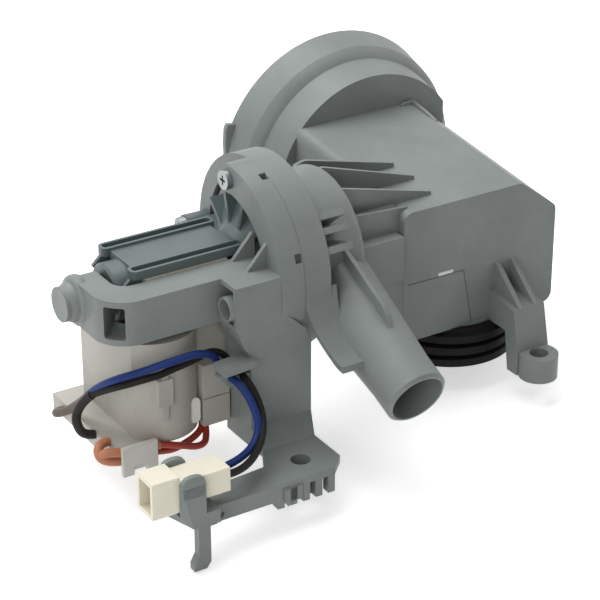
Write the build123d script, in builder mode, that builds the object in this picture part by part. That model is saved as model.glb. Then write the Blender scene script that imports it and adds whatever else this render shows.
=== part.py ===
from build123d import *
import os
from math import cos, pi, radians, sin, sqrt, tan

# Washer drain pump with its filter housing, motor and carrying bracket.
# Millimetres. X runs along the rotor axis from the motor's tail to the pump, Z is up.
# The origin is the middle of the foot screw hole, on the face that the feet stand on.

# Rotor line and the flange stack along it
axis_y = 59.6
axis_z = 64.5
flange_x = 5.5
flange_thick = 9.7
disc_thick = 11.3
cup_depth = 24.0
flange_radius = 38.8
flange_inner_radius = 27.8
disc_radius = 38.5
screw_circle_radius = 33.2
first_screw_angle = 91.5
notch_angles = (109.0, 160.0)
notch_width = 3.4
notch_depth = 3.0
notch_height = 2.2

# Fits
running_gap = 0.06
ring_gap = 0.12
free_gap = 0.3
seat_gap = 0.02
overrun = 1.0

# Walls and rounding of the mouldings
wall = 2.5
thin_wall = 1.8
rib_thick = 1.6
small_round = 1.0

# Carrying bracket
arm_height = 17.2
arm_gusset_shares = (0.08, 0.92)
arm_front_y = 32.0
arm_back_y = 44.4
tail_left_x = -58.8
tail_right_x = -48.6
tail_outer_round = 13.0
tail_inner_round = 6.0
tail_boss_length = 5.7
tail_boss_front_radius = 6.3
tail_boss_root_radius = 8.3
tail_socket_radius = 7.2
tail_socket_depth = 4.6
arm_slot_width = 7.9
arm_slot_height = 12.6
shoulder_left_x = -13.6
shoulder_front_y = 21.6
column_front_y = 20.6
column_back_y = 38.4
column_left_x = -8.3
column_right_x = 17.5
column_step_top_z = 57.3
column_step_low_z = 48.0
column_step_share = 0.75
column_foot_z = 15.4
column_wall = 2.4
plate_top_z = 10.0
plate_thick = 3.0
foot_ramp_y = 12.1
foot_hole_radius = 3.7
foot_boss_radius = 8.0
plate_front_y = -11.2
plate_right_x = 13.7
plate_left_x = -46.0
plate_notch_x = -14.0
plate_arm_back_y = 2.6
plate_round = 6.0
skirt_depth = 6.7
skirt_thick = 1.8
comb_height = 10.0
comb_width = 2.8
guide_reach = 10.5
guide_front_y = 17.6
guide_back_y = 25.6
guide_top_z = 45.0
guide_thick = 3.0
guide_slot = 3.4
gusset_height = 9.5
gusset_length = 8.5

# Connector holder and snap spike
holder_left_x = -58.4
holder_width = 9.4
prong_thick = 2.2
prong_top_z = 29.2
holder_floor_z = 13.0
spike_width = 6.6
spike_depth = 3.4
spike_tip_z = -10.2
spike_barb = 2.6
spike_barb_height = 6.0

# Filter housing
box_left_x = 74.0
box_right_x = 147.5
box_front_y = 43.6
box_back_y = 122.5
box_bottom_z = 16.5
box_front_top_z = 72.3
box_back_top_z = 80.0
box_corner = 4.0
box_big_chamfer_x = 17.5
box_big_chamfer_z = 13.5
filter_x = (box_left_x + box_right_x) / 2
filter_z = 50.5
collar_front_radius = 45.0
collar_cone_step = 2.7
collar_middle_step = 3.8
collar_rim_step = 2.8
collar_cone_radius = collar_front_radius + collar_cone_step
collar_middle_radius = collar_cone_radius + collar_middle_step
collar_rim_radius = collar_middle_radius + collar_rim_step
collar_cone_y = 135.0
collar_middle_y = 138.8
collar_rim_y = 142.4
collar_end_y = 153.1
collar_wall = 2.6
collar_floor = 4.0
neck_radius = 28.0
neck_wall = 2.6
neck_length = 16.0
inlet_y = 64.1
inlet_bore_radius = 18.0
inlet_neck_radius = 22.0
inlet_neck_drop = 5.5
cup_radius = 30.0
cup_y = 62.6
cup_z = 60.6
cup_wall = 2.6
cup_bore_radius = 25.5
cup_round = 3.5
cover_recess_radius = 31.0
gasket_section = 2.1
cover_recess_depth = 3.2
suction_radius = 9.0
suction_wall = 2.2
duct_front_y = 41.4
duct_width = 30.0
duct_top_z = 64.1
duct_bottom_z = 45.5
duct_right_inset = 1.2

# Outlet spout
spout_x = 40.5
spout_tilt = 22.0
spout_end_y = -15.1
spout_end_z = 30.2
spout_end_radius = 12.2
spout_root_radius = 15.2
spout_wall = 1.8
spout_band_length = 12.0
spout_length = 62.0
spout_fin_thick = 1.8
spout_ridge = [(37.0, 60.0), (37.0, 71.0), (33.0, 70.6), (7.5, 58.4), (4.6, 55.6), (1.6, 49.0)]
tongue_left_x = 19.0
tongue_width = 10.5
tongue_thick = 2.5
tongue_curve = [
    (23.6, 63.5),
    (22.6, 58.4),
    (21.2, 54.0),
    (19.2, 50.4),
    (15.8, 47.0),
    (11.2, 43.6),
    (5.8, 40.9),
    (1.4, 40.4),
]
cup_rib_angles = (141.0, 149.5, 160.6)
cup_rib_inner_radius = 24.0
cup_rib_length = 12.0
cup_rib_thick = 2.6
long_gussets = [
    (77.6, 87.5, 92.0, 1.6),
    (65.6, 89.0, 93.5, 1.4),
    (52.6, 85.0, 92.5, 1.2),
    (47.5, 75.0, 78.0, 0.6),
]

# Leg with its screw boss
leg_x = 123.1
leg_y = 19.0
leg_hole_radius = 3.8
leg_boss_radius = 7.8
leg_boss_top_z = 10.0
leg_top_z = 29.5
leg_width = 15.0
leg_rib_thick = 2.2
leg_rib_top_z = 41.0

# Inlet seal
seal_outer_radius = 27.3
seal_neck_outer_radius = 24.8
seal_bottom_z = 1.0
seal_rib_count = 3
seal_rib_crest_share = 0.6
seal_rib_root_share = 0.75

# Motor
canister_radius = 11.0
canister_wall = 1.3
canister_left_x = -46.5
canister_flange_thick = 2.4
flange_ribs = 12
rail_width = 5.6
rail_thick = 3.4
rail_left_x = -42.0
rail_rim = 1.2
rail_groove_depth = 1.6
core_left_x = -37.5
core_right_x = -3.6
core_half_width = 15.2
core_top_z = 73.7
core_bottom_z = 18.6
core_yoke = 8.0
core_leg_inner = 9.6
pole_gap = 0.15
coil_thick = 4.4
coil_top_z = 48.0
coil_height = 20.0
case_left_x = -47.0
case_right_x = 2.7
case_top_z = 53.2
case_bottom_z = 12.5
case_half_width = 20.2
case_bulge = 7.0
case_wall = 1.8
bar_left_x = -57.0
bar_width = 10.2
bar_bottom_z = 7.0
bar_front_y = 36.0
bar_back_y = 86.0
block_left_x = -20.2
block_right_x = -8.9
block_front_y = 35.0
block_groove_z = 24.0
latch_x = -37.5
latch_head_width = 6.0
latch_low_z = 28.0
latch_high_z = 39.0
latch_stem_width = 2.6
latch_stem_low_z = 22.0
latch_stem_high_z = 46.0
latch_raise = 1.2
peg_x = -23.6
peg_z = 20.5
peg_height = 10.5
peg_width = 4.2
peg_back_y = 38.4
peg_depth = 3.5

# Rotor
magnet_radius = 9.2
magnet_length = 30.0
magnet_left_x = -34.0
shaft_radius = 1.25
shaft_left_x = -43.5
shaft_right_x = 42.0
bearing_radius = 4.0
bearing_length = 4.0
dog_radius = 5.0
dog_length = 4.0
dog_x = 24.0
dog_key_width = 3.0

# Impeller
impeller_radius = 17.0
impeller_disc_share = 0.75
impeller_left_x = 29.0
impeller_length = 14.0
impeller_blades = 4
blade_thick = 1.6
impeller_hub_radius = 7.2
impeller_hub_wall = 1.6
impeller_cavity_depth = 5.0
stop_half_angle = 16.0
stop_inner_radius = 3.6

# Filter
plug_radius = 27.4
plug_front_y = 122.0
plug_wall = 2.4
cap_flange_radius = 31.6
cap_flange_thick = 3.0
handle_width = 44.0
handle_thick = 5.0
basket_end_y = 52.0
basket_end_radius = 15.5
basket_slot_share = 0.8
basket_gap_share = 0.42
basket_mouth_radius = 21.5
basket_wall = 1.6
basket_slots = 8
ring_section = 1.6
ring_y = 131.0

# Flange screws
screw_head_radius = 3.75
screw_head_height = 2.4
screw_shank_radius = 1.75
screw_length = 15.0
screw_recess = 0.9

# Leads and connector
wire_radius = 1.25
sleeve_radius = 2.0
fuse_sleeve_radius = 1.9
upper_fuse_z = 15.3
lower_fuse_z = 10.6
red_wire_radius = 1.1
plug_left_x = -68.7
plug_front_x = -58.0
plug_rear_x = -38.0
plug_body_y = -9.4
plug_width = 11.2
plug_front_height = 14.3
plug_rear_height = 9.6
plug_mid_z = 21.9
plug_mouth_depth = 9.0
plug_mouth_wall = 1.6
terminal_width = 2.6
terminal_height = 5.0
terminal_pitch = 4.6
terminal_wall = 0.36
clip_gap = 5.2
clip_low_z = 5.5
clip_high_z = 17.2
clip_right_x = -42.8
clip_foot = 4.4
clip_notch_height = 3.4

joint_x = flange_x + flange_thick
canister_flange_radius = cover_recess_radius - gasket_section - 2 * seat_gap
volute_x = joint_x + disc_thick
cup_end_x = volute_x + cup_depth
arm_low_z = axis_z - arm_height / 2
arm_top_z = axis_z + arm_height / 2
rotor_axis = Axis((0, axis_y, axis_z), (1, 0, 0))
filter_axis = Axis((filter_x, 0, filter_z), (0, 1, 0))
rotor_profile = Plane(origin=(0, axis_y, axis_z), x_dir=(1, 0, 0), z_dir=(0, -1, 0))
filter_profile = Plane(origin=(filter_x, 0, filter_z), x_dir=(0, 1, 0), z_dir=(1, 0, 0))


def across(x):
    """Plane square to the rotor at x: its own x runs along +Y, its own y along +Z."""
    return Plane(origin=(x, axis_y, axis_z), x_dir=(0, 1, 0), z_dir=(1, 0, 0))


def crosswise(x):
    """Plane square to X at x, measured in the part's own Y and Z."""
    return Plane(origin=(x, 0, 0), x_dir=(0, 1, 0), z_dir=(1, 0, 0))


def front(y):
    """Plane square to Y at y, measured in X and Z; extrusion runs towards +Y with a minus."""
    return Plane(origin=(0, y, 0), x_dir=(1, 0, 0), z_dir=(0, -1, 0))


def facing_filter(y):
    """Plane square to the filter line at y: its own y runs along +Z."""
    return Plane(origin=(filter_x, y, filter_z), x_dir=(-1, 0, 0), z_dir=(0, 1, 0))


def on_circle(radius, angle):
    """A point at an angle in degrees on a circle about the origin."""
    return (radius * cos(radians(angle)), radius * sin(radians(angle)))


# Carrying bracket: flange ring, arm with its tail, column, foot plate and connector holder
ring_start_angle = 88.0
ring_end_angle = 284.0
ring_hole_radius = screw_shank_radius + free_gap
tube_mouth_x = -15.5
tube_radius = 4.7
tube_bore_radius = screw_head_radius + running_gap
tail_mid_x = (tail_left_x + tail_right_x) / 2
pocket_wall = 1.8

with BuildPart() as motor_bracket:
    # Column and shoulder: side outline, kept only where the front outline covers it
    with BuildSketch(crosswise(tail_left_x)) as column_side:
        with BuildLine():
            Polyline(
                (shoulder_front_y, arm_top_z),
                (shoulder_front_y, column_step_top_z),
                (column_front_y, column_step_low_z),
                (column_front_y, column_foot_z),
                (foot_ramp_y, plate_top_z),
                (foot_ramp_y, plate_top_z - plate_thick),
                (column_back_y, plate_top_z - plate_thick),
                (column_back_y, column_step_low_z),
                (arm_front_y + pocket_wall, column_step_top_z),
                (arm_front_y + pocket_wall, arm_top_z),
                close=True,
            )
        make_face()
    extrude(amount=column_right_x - tail_left_x)
    column_waist_x = column_left_x - (column_left_x - shoulder_left_x) / 2
    with BuildSketch(front(foot_ramp_y - overrun)) as column_front:
        with BuildLine():
            Polyline(
                (shoulder_left_x, arm_top_z),
                (shoulder_left_x, column_step_top_z),
                (column_waist_x, column_step_low_z + small_round),
                (column_left_x, column_step_low_z - wall),
                (column_left_x, plate_top_z - plate_thick),
                (plate_right_x, plate_top_z - plate_thick),
                (plate_right_x, plate_top_z),
                (column_right_x, column_foot_z),
                (column_right_x, column_step_low_z - wall),
                (joint_x, column_step_low_z + wall),
                (joint_x - flange_thick * column_step_share, column_step_top_z),
                (flange_x + small_round, arm_top_z),
                close=True,
            )
        make_face()
    extrude(amount=-(column_back_y - foot_ramp_y + 2 * overrun), mode=Mode.INTERSECT)
    # Channel up the back of the column
    with BuildSketch(front(column_front_y + column_wall)):
        with BuildLine():
            Polyline(
                (column_left_x + column_wall, plate_top_z),
                (column_left_x + column_wall, column_step_low_z - wall),
                (joint_x - column_wall, column_step_low_z - wall),
                (joint_x - column_wall, plate_top_z),
                close=True,
            )
        make_face()
    extrude(amount=-column_back_y, mode=Mode.SUBTRACT)
    # Right-hand edge of the column: only its front wall goes on past the flange
    with BuildSketch(front(column_front_y + column_wall)):
        with BuildLine():
            Polyline(
                (joint_x, plate_top_z + wall),
                (joint_x, column_step_low_z + wall),
                (column_right_x + overrun, column_step_low_z + wall),
                (column_right_x + overrun, plate_top_z + wall),
                close=True,
            )
        make_face()
    extrude(amount=-column_back_y, mode=Mode.SUBTRACT)
    # Flange ring
    with BuildSketch(across(flange_x)):
        Circle(flange_radius)
        Circle(flange_inner_radius, mode=Mode.SUBTRACT)
        reach = 3 * flange_radius
        with BuildLine():
            Polyline(
                (0, 0),
                on_circle(reach, ring_end_angle - 360),
                (reach, 0),
                on_circle(reach, ring_start_angle),
                close=True,
            )
        make_face(mode=Mode.SUBTRACT)
    extrude(amount=flange_thick)
    with BuildSketch(across(flange_x)):
        with Locations(on_circle(screw_circle_radius, first_screw_angle)):
            Circle(flange_radius - screw_circle_radius + small_round / 5)
    extrude(amount=flange_thick)
    # Latch notches in the ring's outer edge
    for notch_angle in notch_angles:
        notch_spoke = on_circle(1, notch_angle)
        with BuildSketch(
            Plane(
                origin=(joint_x - notch_depth, axis_y, axis_z),
                x_dir=(0, notch_spoke[0], notch_spoke[1]),
                z_dir=(1, 0, 0),
            )
        ):
            with Locations((flange_radius, 0)):
                Rectangle(2 * notch_height, notch_width)
        extrude(amount=notch_depth + overrun, mode=Mode.SUBTRACT)
    # Arm with its tail turned across the rotor line
    with BuildSketch(Plane.XY.offset(arm_low_z)) as arm_plan:
        with BuildLine():
            Polyline(
                (tail_left_x, axis_y),
                (tail_left_x, arm_front_y),
                (flange_x + overrun, arm_front_y),
                (flange_x + overrun, arm_back_y),
                (tail_right_x, arm_back_y),
                (tail_right_x, axis_y),
                close=True,
            )
        make_face()
        fillet(arm_plan.vertices().group_by(Axis.X)[0].sort_by(Axis.Y)[0], tail_outer_round)
        inner_corner = arm_plan.vertices().sort_by_distance((tail_right_x, arm_back_y))[0]
        fillet(inner_corner, tail_inner_round)
    extrude(amount=arm_height)
    with BuildSketch(across(tail_left_x)):
        Circle(arm_height / 2)
    extrude(amount=tail_right_x - tail_left_x)
    # Shoulder between arm and column, hollow behind, with the tube of the third screw
    with BuildSketch(crosswise(shoulder_left_x)):
        with BuildLine():
            Polyline(
                (shoulder_front_y, arm_low_z),
                (shoulder_front_y, arm_top_z),
                (arm_front_y + overrun, arm_top_z),
                (arm_front_y + overrun, arm_low_z),
                close=True,
            )
        make_face()
    extrude(amount=flange_x - shoulder_left_x + overrun)
    with BuildSketch(crosswise(shoulder_left_x - overrun)):
        with BuildLine():
            Polyline(
                (shoulder_front_y + pocket_wall, arm_low_z + pocket_wall),
                (shoulder_front_y + pocket_wall, arm_top_z - pocket_wall),
                (arm_front_y, arm_top_z - pocket_wall),
                (arm_front_y, arm_low_z + pocket_wall),
                close=True,
            )
        make_face()
    extrude(amount=flange_x - shoulder_left_x, mode=Mode.SUBTRACT)
    with BuildSketch(across(tube_mouth_x)):
        with Locations(on_circle(screw_circle_radius, first_screw_angle + 90)):
            Circle(tube_radius)
    extrude(amount=flange_x - tube_mouth_x + overrun)
    with BuildSketch(across(tube_mouth_x - overrun)):
        with Locations(on_circle(screw_circle_radius, first_screw_angle + 90)):
            Circle(tube_bore_radius)
    extrude(amount=flange_x - tube_mouth_x + overrun, mode=Mode.SUBTRACT)
    with BuildSketch(across(flange_x - overrun)):
        for quarter in range(3):
            with Locations(on_circle(screw_circle_radius, first_screw_angle + 90 * quarter)):
                Circle(ring_hole_radius)
    extrude(amount=flange_thick + 2 * overrun, mode=Mode.SUBTRACT)
    # Tail boss outside, socket of the damper inside
    with BuildSketch(rotor_profile):
        with BuildLine():
            Polyline(
                (tail_left_x + overrun, 0),
                (tail_left_x + overrun, tail_boss_root_radius),
                (tail_left_x, tail_boss_root_radius),
                (tail_left_x - tail_boss_length, tail_boss_front_radius),
                (tail_left_x - tail_boss_length, 0),
                close=True,
            )
        make_face()
    revolve(axis=rotor_axis)
    with BuildSketch(across(tail_right_x - tail_socket_depth)):
        Circle(tail_socket_radius)
    extrude(amount=tail_socket_depth + overrun, mode=Mode.SUBTRACT)
    # Rectangular window through the bend of the arm
    window = Plane(
        origin=(tail_left_x, arm_front_y, axis_z),
        x_dir=(1, -1, 0),
        z_dir=(1, 1, 0),
    )
    with BuildSketch(window):
        RectangleRounded(arm_slot_width, arm_slot_height, small_round)
    extrude(amount=2 * (arm_back_y - arm_front_y), mode=Mode.SUBTRACT)
    # Gussets between the arm's top and the flange
    for share in arm_gusset_shares:
        gusset_y = arm_back_y - share * (arm_back_y - arm_front_y)
        with BuildSketch(front(gusset_y)):
            with BuildLine():
                Polyline(
                    (flange_x - gusset_length, arm_top_z - overrun),
                    (flange_x - gusset_length, arm_top_z),
                    (flange_x, arm_top_z + gusset_height),
                    (flange_x + overrun, arm_top_z + gusset_height),
                    (flange_x + overrun, arm_top_z - overrun),
                    close=True,
                )
            make_face()
        extrude(amount=rib_thick)
    # Foot plate
    with BuildSketch(Plane.XY.offset(plate_top_z - plate_thick)) as plate_plan:
        with BuildLine():
            Polyline(
                (plate_left_x, plate_front_y),
                (plate_right_x - plate_round, plate_front_y),
                (plate_right_x, plate_front_y + plate_round),
                (plate_right_x, foot_ramp_y + overrun),
                (column_left_x, foot_ramp_y + overrun),
                (plate_notch_x, plate_arm_back_y),
                (plate_left_x, plate_arm_back_y - wall),
                close=True,
            )
        make_face()
    extrude(amount=plate_thick)
    Cylinder(
        foot_boss_radius,
        plate_top_z,
        align=(Align.CENTER, Align.CENTER, Align.MIN),
    )
    Cylinder(
        foot_hole_radius,
        2 * plate_top_z + 2 * overrun,
        mode=Mode.SUBTRACT,
    )
    # Skirt under the front edge, with its long arch
    skirt_right_x = shoulder_left_x
    with BuildSketch(front(plate_front_y + skirt_thick)):
        with BuildLine():
            Polyline(
                (plate_left_x, plate_top_z),
                (skirt_right_x, plate_top_z),
                (skirt_right_x, 0),
                (skirt_right_x - comb_width, 0),
                (skirt_right_x - comb_width - wall, plate_top_z - skirt_depth),
                (plate_left_x, plate_top_z - skirt_depth),
                close=True,
            )
        make_face()
    extrude(amount=skirt_thick)
    # Comb of short ribs under the right-hand part of the front edge
    comb_length = plate_right_x - plate_round - skirt_right_x
    comb_count = 4
    for tooth in range(comb_count):
        tooth_x = skirt_right_x + comb_length * (tooth + 1) / comb_count - comb_width
        with BuildSketch(front(plate_front_y + 2 * skirt_thick)):
            with BuildLine():
                Polyline(
                    (tooth_x, plate_top_z - plate_thick + overrun),
                    (tooth_x + comb_width, plate_top_z - plate_thick + overrun),
                    (tooth_x + comb_width, 0),
                    (tooth_x, 0),
                    close=True,
                )
            make_face()
        extrude(amount=2 * skirt_thick)
    # Lead guide on the column's left edge
    for step in range(2):
        guide_z = guide_top_z - step * (guide_thick + guide_slot)
        guide_left_x = column_left_x - guide_reach + step * guide_slot
        with BuildSketch(Plane.XY.offset(guide_z - guide_thick)):
            with BuildLine():
                Polyline(
                    (guide_left_x, guide_front_y + step * guide_slot),
                    (column_left_x + small_round, guide_front_y + step * guide_slot),
                    (column_left_x + small_round, guide_back_y),
                    (guide_left_x, guide_back_y),
                    close=True,
                )
            make_face()
        extrude(amount=guide_thick)
    # Connector holder: floor, two prongs and the snap spike
    holder_right_x = holder_left_x + holder_width
    holder_front_y = plug_body_y - plug_width / 2 - free_gap - prong_thick
    holder_back_y = holder_front_y + plug_width + 2 * prong_thick + 2 * free_gap
    holder_plate_x = (holder_left_x + plate_left_x) / 2
    with BuildSketch(Plane.XY.offset(holder_floor_z - plate_thick - wall)):
        with BuildLine():
            Polyline(
                (holder_left_x, holder_front_y),
                (plate_left_x + wall, holder_front_y),
                (plate_left_x + wall, holder_back_y),
                (holder_left_x, holder_back_y),
                close=True,
            )
        make_face()
    extrude(amount=plate_thick + wall)
    for prong_y in (holder_front_y, holder_back_y - prong_thick):
        with BuildSketch(Plane.XY.offset(holder_floor_z - wall)):
            with BuildLine():
                Polyline(
                    (holder_left_x, prong_y),
                    (holder_right_x, prong_y),
                    (holder_right_x, prong_y + prong_thick),
                    (holder_left_x, prong_y + prong_thick),
                    close=True,
                )
            make_face()
        extrude(amount=prong_top_z - holder_floor_z + wall)
    with BuildSketch(Plane.XY.offset(holder_floor_z - wall)):
        with Locations(((holder_left_x + holder_right_x) / 2 + small_round, plug_body_y)):
            Rectangle(holder_width - 2 * small_round, plug_width / 2)
    extrude(amount=plug_mid_z - plug_rear_height / 2 - seat_gap - holder_floor_z + wall)
    spike_left_x = holder_right_x - spike_width
    with BuildSketch(front(holder_front_y + spike_depth)):
        with BuildLine():
            Polyline(
                (spike_left_x, holder_floor_z - wall),
                (holder_right_x, holder_floor_z - wall),
                (holder_right_x, spike_tip_z + wall),
                (holder_right_x - wall, spike_tip_z),
                (spike_left_x - spike_barb, spike_tip_z),
                (spike_left_x - spike_barb, spike_tip_z + wall),
                (spike_left_x, spike_tip_z + spike_barb_height),
                close=True,
            )
        make_face()
    extrude(amount=spike_depth)

# Filter housing: box, collar, disc, volute cup, spout and leg in one moulding
spout_plane = Plane(
    origin=(spout_x, spout_end_y, spout_end_z),
    x_dir=(1, 0, 0),
    z_dir=(0, cos(radians(spout_tilt)), sin(radians(spout_tilt))),
)


def box_outline(inset):
    """Cross-section of the filter box in X and Z, drawn in from the walls by inset."""
    return [
        (box_left_x + inset, box_bottom_z + inset),
        (box_left_x + inset, box_front_top_z - inset),
        (box_right_x - box_big_chamfer_x - inset / 2, box_front_top_z - inset),
        (box_right_x - inset, box_front_top_z - box_big_chamfer_z - inset / 2),
        (box_right_x - inset, box_bottom_z + inset),
    ]


box_top_rise = box_back_top_z - box_front_top_z

with BuildPart() as filter_housing:
    # Box, its roof rising towards the collar
    with BuildSketch(front(box_front_y)) as box_face:
        with BuildLine():
            Polyline(*box_outline(0), close=True)
        make_face()
        fillet(box_face.vertices(), box_corner)
    with BuildSketch(front(box_back_y)) as box_back_face:
        with BuildLine():
            lifted = [(x, z + (box_top_rise if z > filter_z else 0)) for x, z in box_outline(0)]
            Polyline(*lifted, close=True)
        make_face()
        fillet(box_back_face.vertices(), box_corner)
    loft(ruled=True)
    # Collar
    with BuildSketch(filter_profile):
        with BuildLine():
            Polyline(
                (box_back_y - small_round, 0),
                (box_back_y - small_round, collar_front_radius),
                (collar_cone_y, collar_front_radius),
                (collar_cone_y, collar_cone_radius),
                (collar_middle_y, collar_middle_radius),
                (collar_rim_y, collar_middle_radius),
                (collar_rim_y, collar_rim_radius),
                (collar_end_y, collar_rim_radius),
                (collar_end_y, 0),
                close=True,
            )
        make_face()
    revolve(axis=filter_axis)
    # Disc, volute cup and suction tube on the rotor line
    with BuildSketch(across(joint_x)):
        Circle(disc_radius)
    extrude(amount=disc_thick)
    with BuildSketch(crosswise(volute_x - overrun)):
        with Locations((cup_y, cup_z)):
            Circle(cup_radius)
    extrude(amount=cup_depth + overrun)
    cup_edge = filter_housing.edges().filter_by(GeomType.CIRCLE)
    cup_edge = cup_edge.filter_by(lambda e: abs(e.radius - cup_radius) < small_round / 10)
    cup_edge = cup_edge.sort_by(Axis.X)[-1]
    fillet(cup_edge, cup_round)
    with BuildSketch(across(cup_end_x - cup_wall)):
        Circle(suction_radius + suction_wall)
    extrude(amount=box_left_x - cup_end_x + cup_wall + wall / 2)
    with BuildSketch(crosswise(cup_end_x - cup_wall)):
        with BuildLine():
            Polyline(
                (duct_front_y, duct_bottom_z),
                (duct_front_y, duct_top_z),
                (duct_front_y + duct_width, duct_top_z),
                (duct_front_y + duct_width, duct_bottom_z),
                close=True,
            )
        make_face()
    extrude(amount=box_left_x - duct_right_inset - cup_end_x + cup_wall)
    # Spout: straight band for the hose clip, then the taper towards the cup
    with BuildSketch(spout_plane):
        Circle(spout_end_radius)
    extrude(amount=spout_band_length)
    spout_rings = filter_housing.edges().filter_by(GeomType.CIRCLE)
    chamfer(spout_rings.sort_by_distance(spout_plane.origin)[0], small_round)
    with BuildSketch(spout_plane.offset(spout_band_length)):
        Circle(spout_end_radius)
    with BuildSketch(spout_plane.offset(spout_length)):
        Circle(spout_root_radius)
    loft()
    # Inlet neck under the box
    with BuildSketch(Plane.XY.offset(box_bottom_z - inlet_neck_drop)):
        with Locations((filter_x, inlet_y)):
            Circle(inlet_neck_radius)
    extrude(amount=inlet_neck_drop + overrun)
    # Leg: body sloping down from the box face to its screw boss
    with BuildSketch(crosswise(leg_x - leg_width / 2)):
        with BuildLine():
            Polyline(
                (box_front_y + overrun, leg_top_z),
                (leg_y + leg_boss_radius, leg_top_z - wall),
                (leg_y + leg_boss_radius / 2, leg_boss_top_z),
                (leg_y + leg_boss_radius / 2, 0),
                (leg_y + leg_boss_radius + wall, 0),
                (leg_y + leg_boss_radius + 2 * wall, box_bottom_z),
                (box_front_y + overrun, box_bottom_z),
                close=True,
            )
        make_face()
    extrude(amount=leg_width)
    with BuildSketch(Plane.XY):
        with Locations((leg_x, leg_y)):
            Circle(leg_boss_radius)
    extrude(amount=leg_boss_top_z)
    for side in (-1, 1):
        rib_x = leg_x + side * (leg_width / 4) - leg_rib_thick / 2
        with BuildSketch(crosswise(rib_x)):
            with BuildLine():
                Polyline(
                    (box_front_y + overrun, leg_rib_top_z),
                    (box_front_y, leg_rib_top_z),
                    (leg_y + leg_boss_radius, leg_top_z - wall),
                    (box_front_y + overrun, leg_top_z - wall),
                    close=True,
                )
            make_face()
        extrude(amount=leg_rib_thick)
    # Hollows: box, dish and neck of the filter opening
    with BuildSketch(front(box_front_y + wall)) as hollow_front:
        with BuildLine():
            Polyline(*box_outline(wall), close=True)
        make_face()
        fillet(hollow_front.vertices(), box_corner - wall / 2)
    with BuildSketch(front(box_back_y)) as hollow_back:
        with BuildLine():
            lifted = [
                (x, z + (box_top_rise if z > filter_z else 0)) for x, z in box_outline(wall)
            ]
            Polyline(*lifted, close=True)
        make_face()
        fillet(hollow_back.vertices(), box_corner - wall / 2)
    loft(ruled=True, mode=Mode.SUBTRACT)
    dish_floor_y = box_back_y - small_round + collar_floor
    with BuildSketch(filter_profile):
        with BuildLine():
            Polyline(
                (dish_floor_y, 0),
                (dish_floor_y, collar_front_radius - collar_wall),
                (collar_cone_y, collar_front_radius - collar_wall),
                (collar_rim_y, collar_middle_radius - collar_wall),
                (collar_rim_y + collar_wall, collar_rim_radius - collar_wall),
                (collar_end_y + overrun, collar_rim_radius - collar_wall),
                (collar_end_y + overrun, 0),
                close=True,
            )
        make_face()
    revolve(axis=filter_axis, mode=Mode.SUBTRACT)
    with BuildSketch(facing_filter(dish_floor_y - small_round)):
        Circle(neck_radius + neck_wall)
    extrude(amount=neck_length)
    with BuildSketch(facing_filter(box_back_y - overrun)):
        Circle(neck_radius)
    extrude(amount=neck_length + collar_floor + 2 * overrun, mode=Mode.SUBTRACT)
    # Flat on the collar's right side
    with BuildSketch(front(box_back_y - 2 * small_round)):
        with BuildLine():
            Polyline(
                (box_right_x - small_round / 2, box_bottom_z - collar_rim_radius),
                (box_right_x - small_round / 2, box_back_top_z + collar_rim_radius),
                (box_right_x + collar_front_radius, box_back_top_z + collar_rim_radius),
                (box_right_x + collar_front_radius, box_bottom_z - collar_rim_radius),
                close=True,
            )
        make_face()
    extrude(amount=-(collar_cone_y - box_back_y + small_round), mode=Mode.SUBTRACT)
    flat_x = box_right_x - small_round / 2
    flat_half = sqrt(collar_front_radius**2 - (flat_x - filter_x) ** 2)
    with BuildSketch(front(box_back_y)):
        with BuildLine():
            Polyline(
                (flat_x - collar_wall, filter_z - flat_half),
                (flat_x - collar_wall, filter_z + flat_half),
                (flat_x, filter_z + flat_half),
                (flat_x, filter_z - flat_half),
                close=True,
            )
        make_face()
    extrude(amount=-(collar_cone_y - box_back_y))
    # Inlet bore, cup, recess of the rotor cover, suction way and spout bore
    with BuildSketch(Plane.XY.offset(box_bottom_z - inlet_neck_drop - overrun)):
        with Locations((filter_x, inlet_y)):
            Circle(inlet_bore_radius)
    extrude(amount=inlet_neck_drop + wall + 3 * overrun, mode=Mode.SUBTRACT)
    with BuildSketch(crosswise(joint_x + cover_recess_depth)):
        with Locations((cup_y, cup_z)):
            Circle(cup_bore_radius)
    cup_bore_length = cup_end_x - cup_wall - joint_x - cover_recess_depth
    extrude(amount=cup_bore_length, mode=Mode.SUBTRACT)
    with BuildSketch(across(joint_x - overrun)):
        Circle(cover_recess_radius)
    extrude(amount=cover_recess_depth + overrun, mode=Mode.SUBTRACT)
    with BuildSketch(across(cup_end_x - cup_wall - overrun)):
        Circle(suction_radius)
    extrude(amount=box_left_x - cup_end_x + cup_wall + wall + 3 * overrun, mode=Mode.SUBTRACT)
    with BuildSketch(spout_plane.offset(-overrun)):
        Circle(spout_end_radius - spout_wall)
    with BuildSketch(spout_plane.offset(spout_length)):
        Circle(spout_root_radius - spout_wall - small_round)
    loft(mode=Mode.SUBTRACT)
    # Holes for the leg screw and the four flange screws
    with BuildSketch(Plane.XY.offset(-overrun)):
        with Locations((leg_x, leg_y)):
            Circle(leg_hole_radius)
    extrude(amount=leg_boss_top_z + 2 * overrun, mode=Mode.SUBTRACT)
    with BuildSketch(across(joint_x - overrun)):
        for quarter in range(4):
            with Locations(on_circle(screw_circle_radius, first_screw_angle + 90 * quarter)):
                Circle(screw_shank_radius + seat_gap)
    extrude(amount=disc_thick - wall + overrun, mode=Mode.SUBTRACT)
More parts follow.
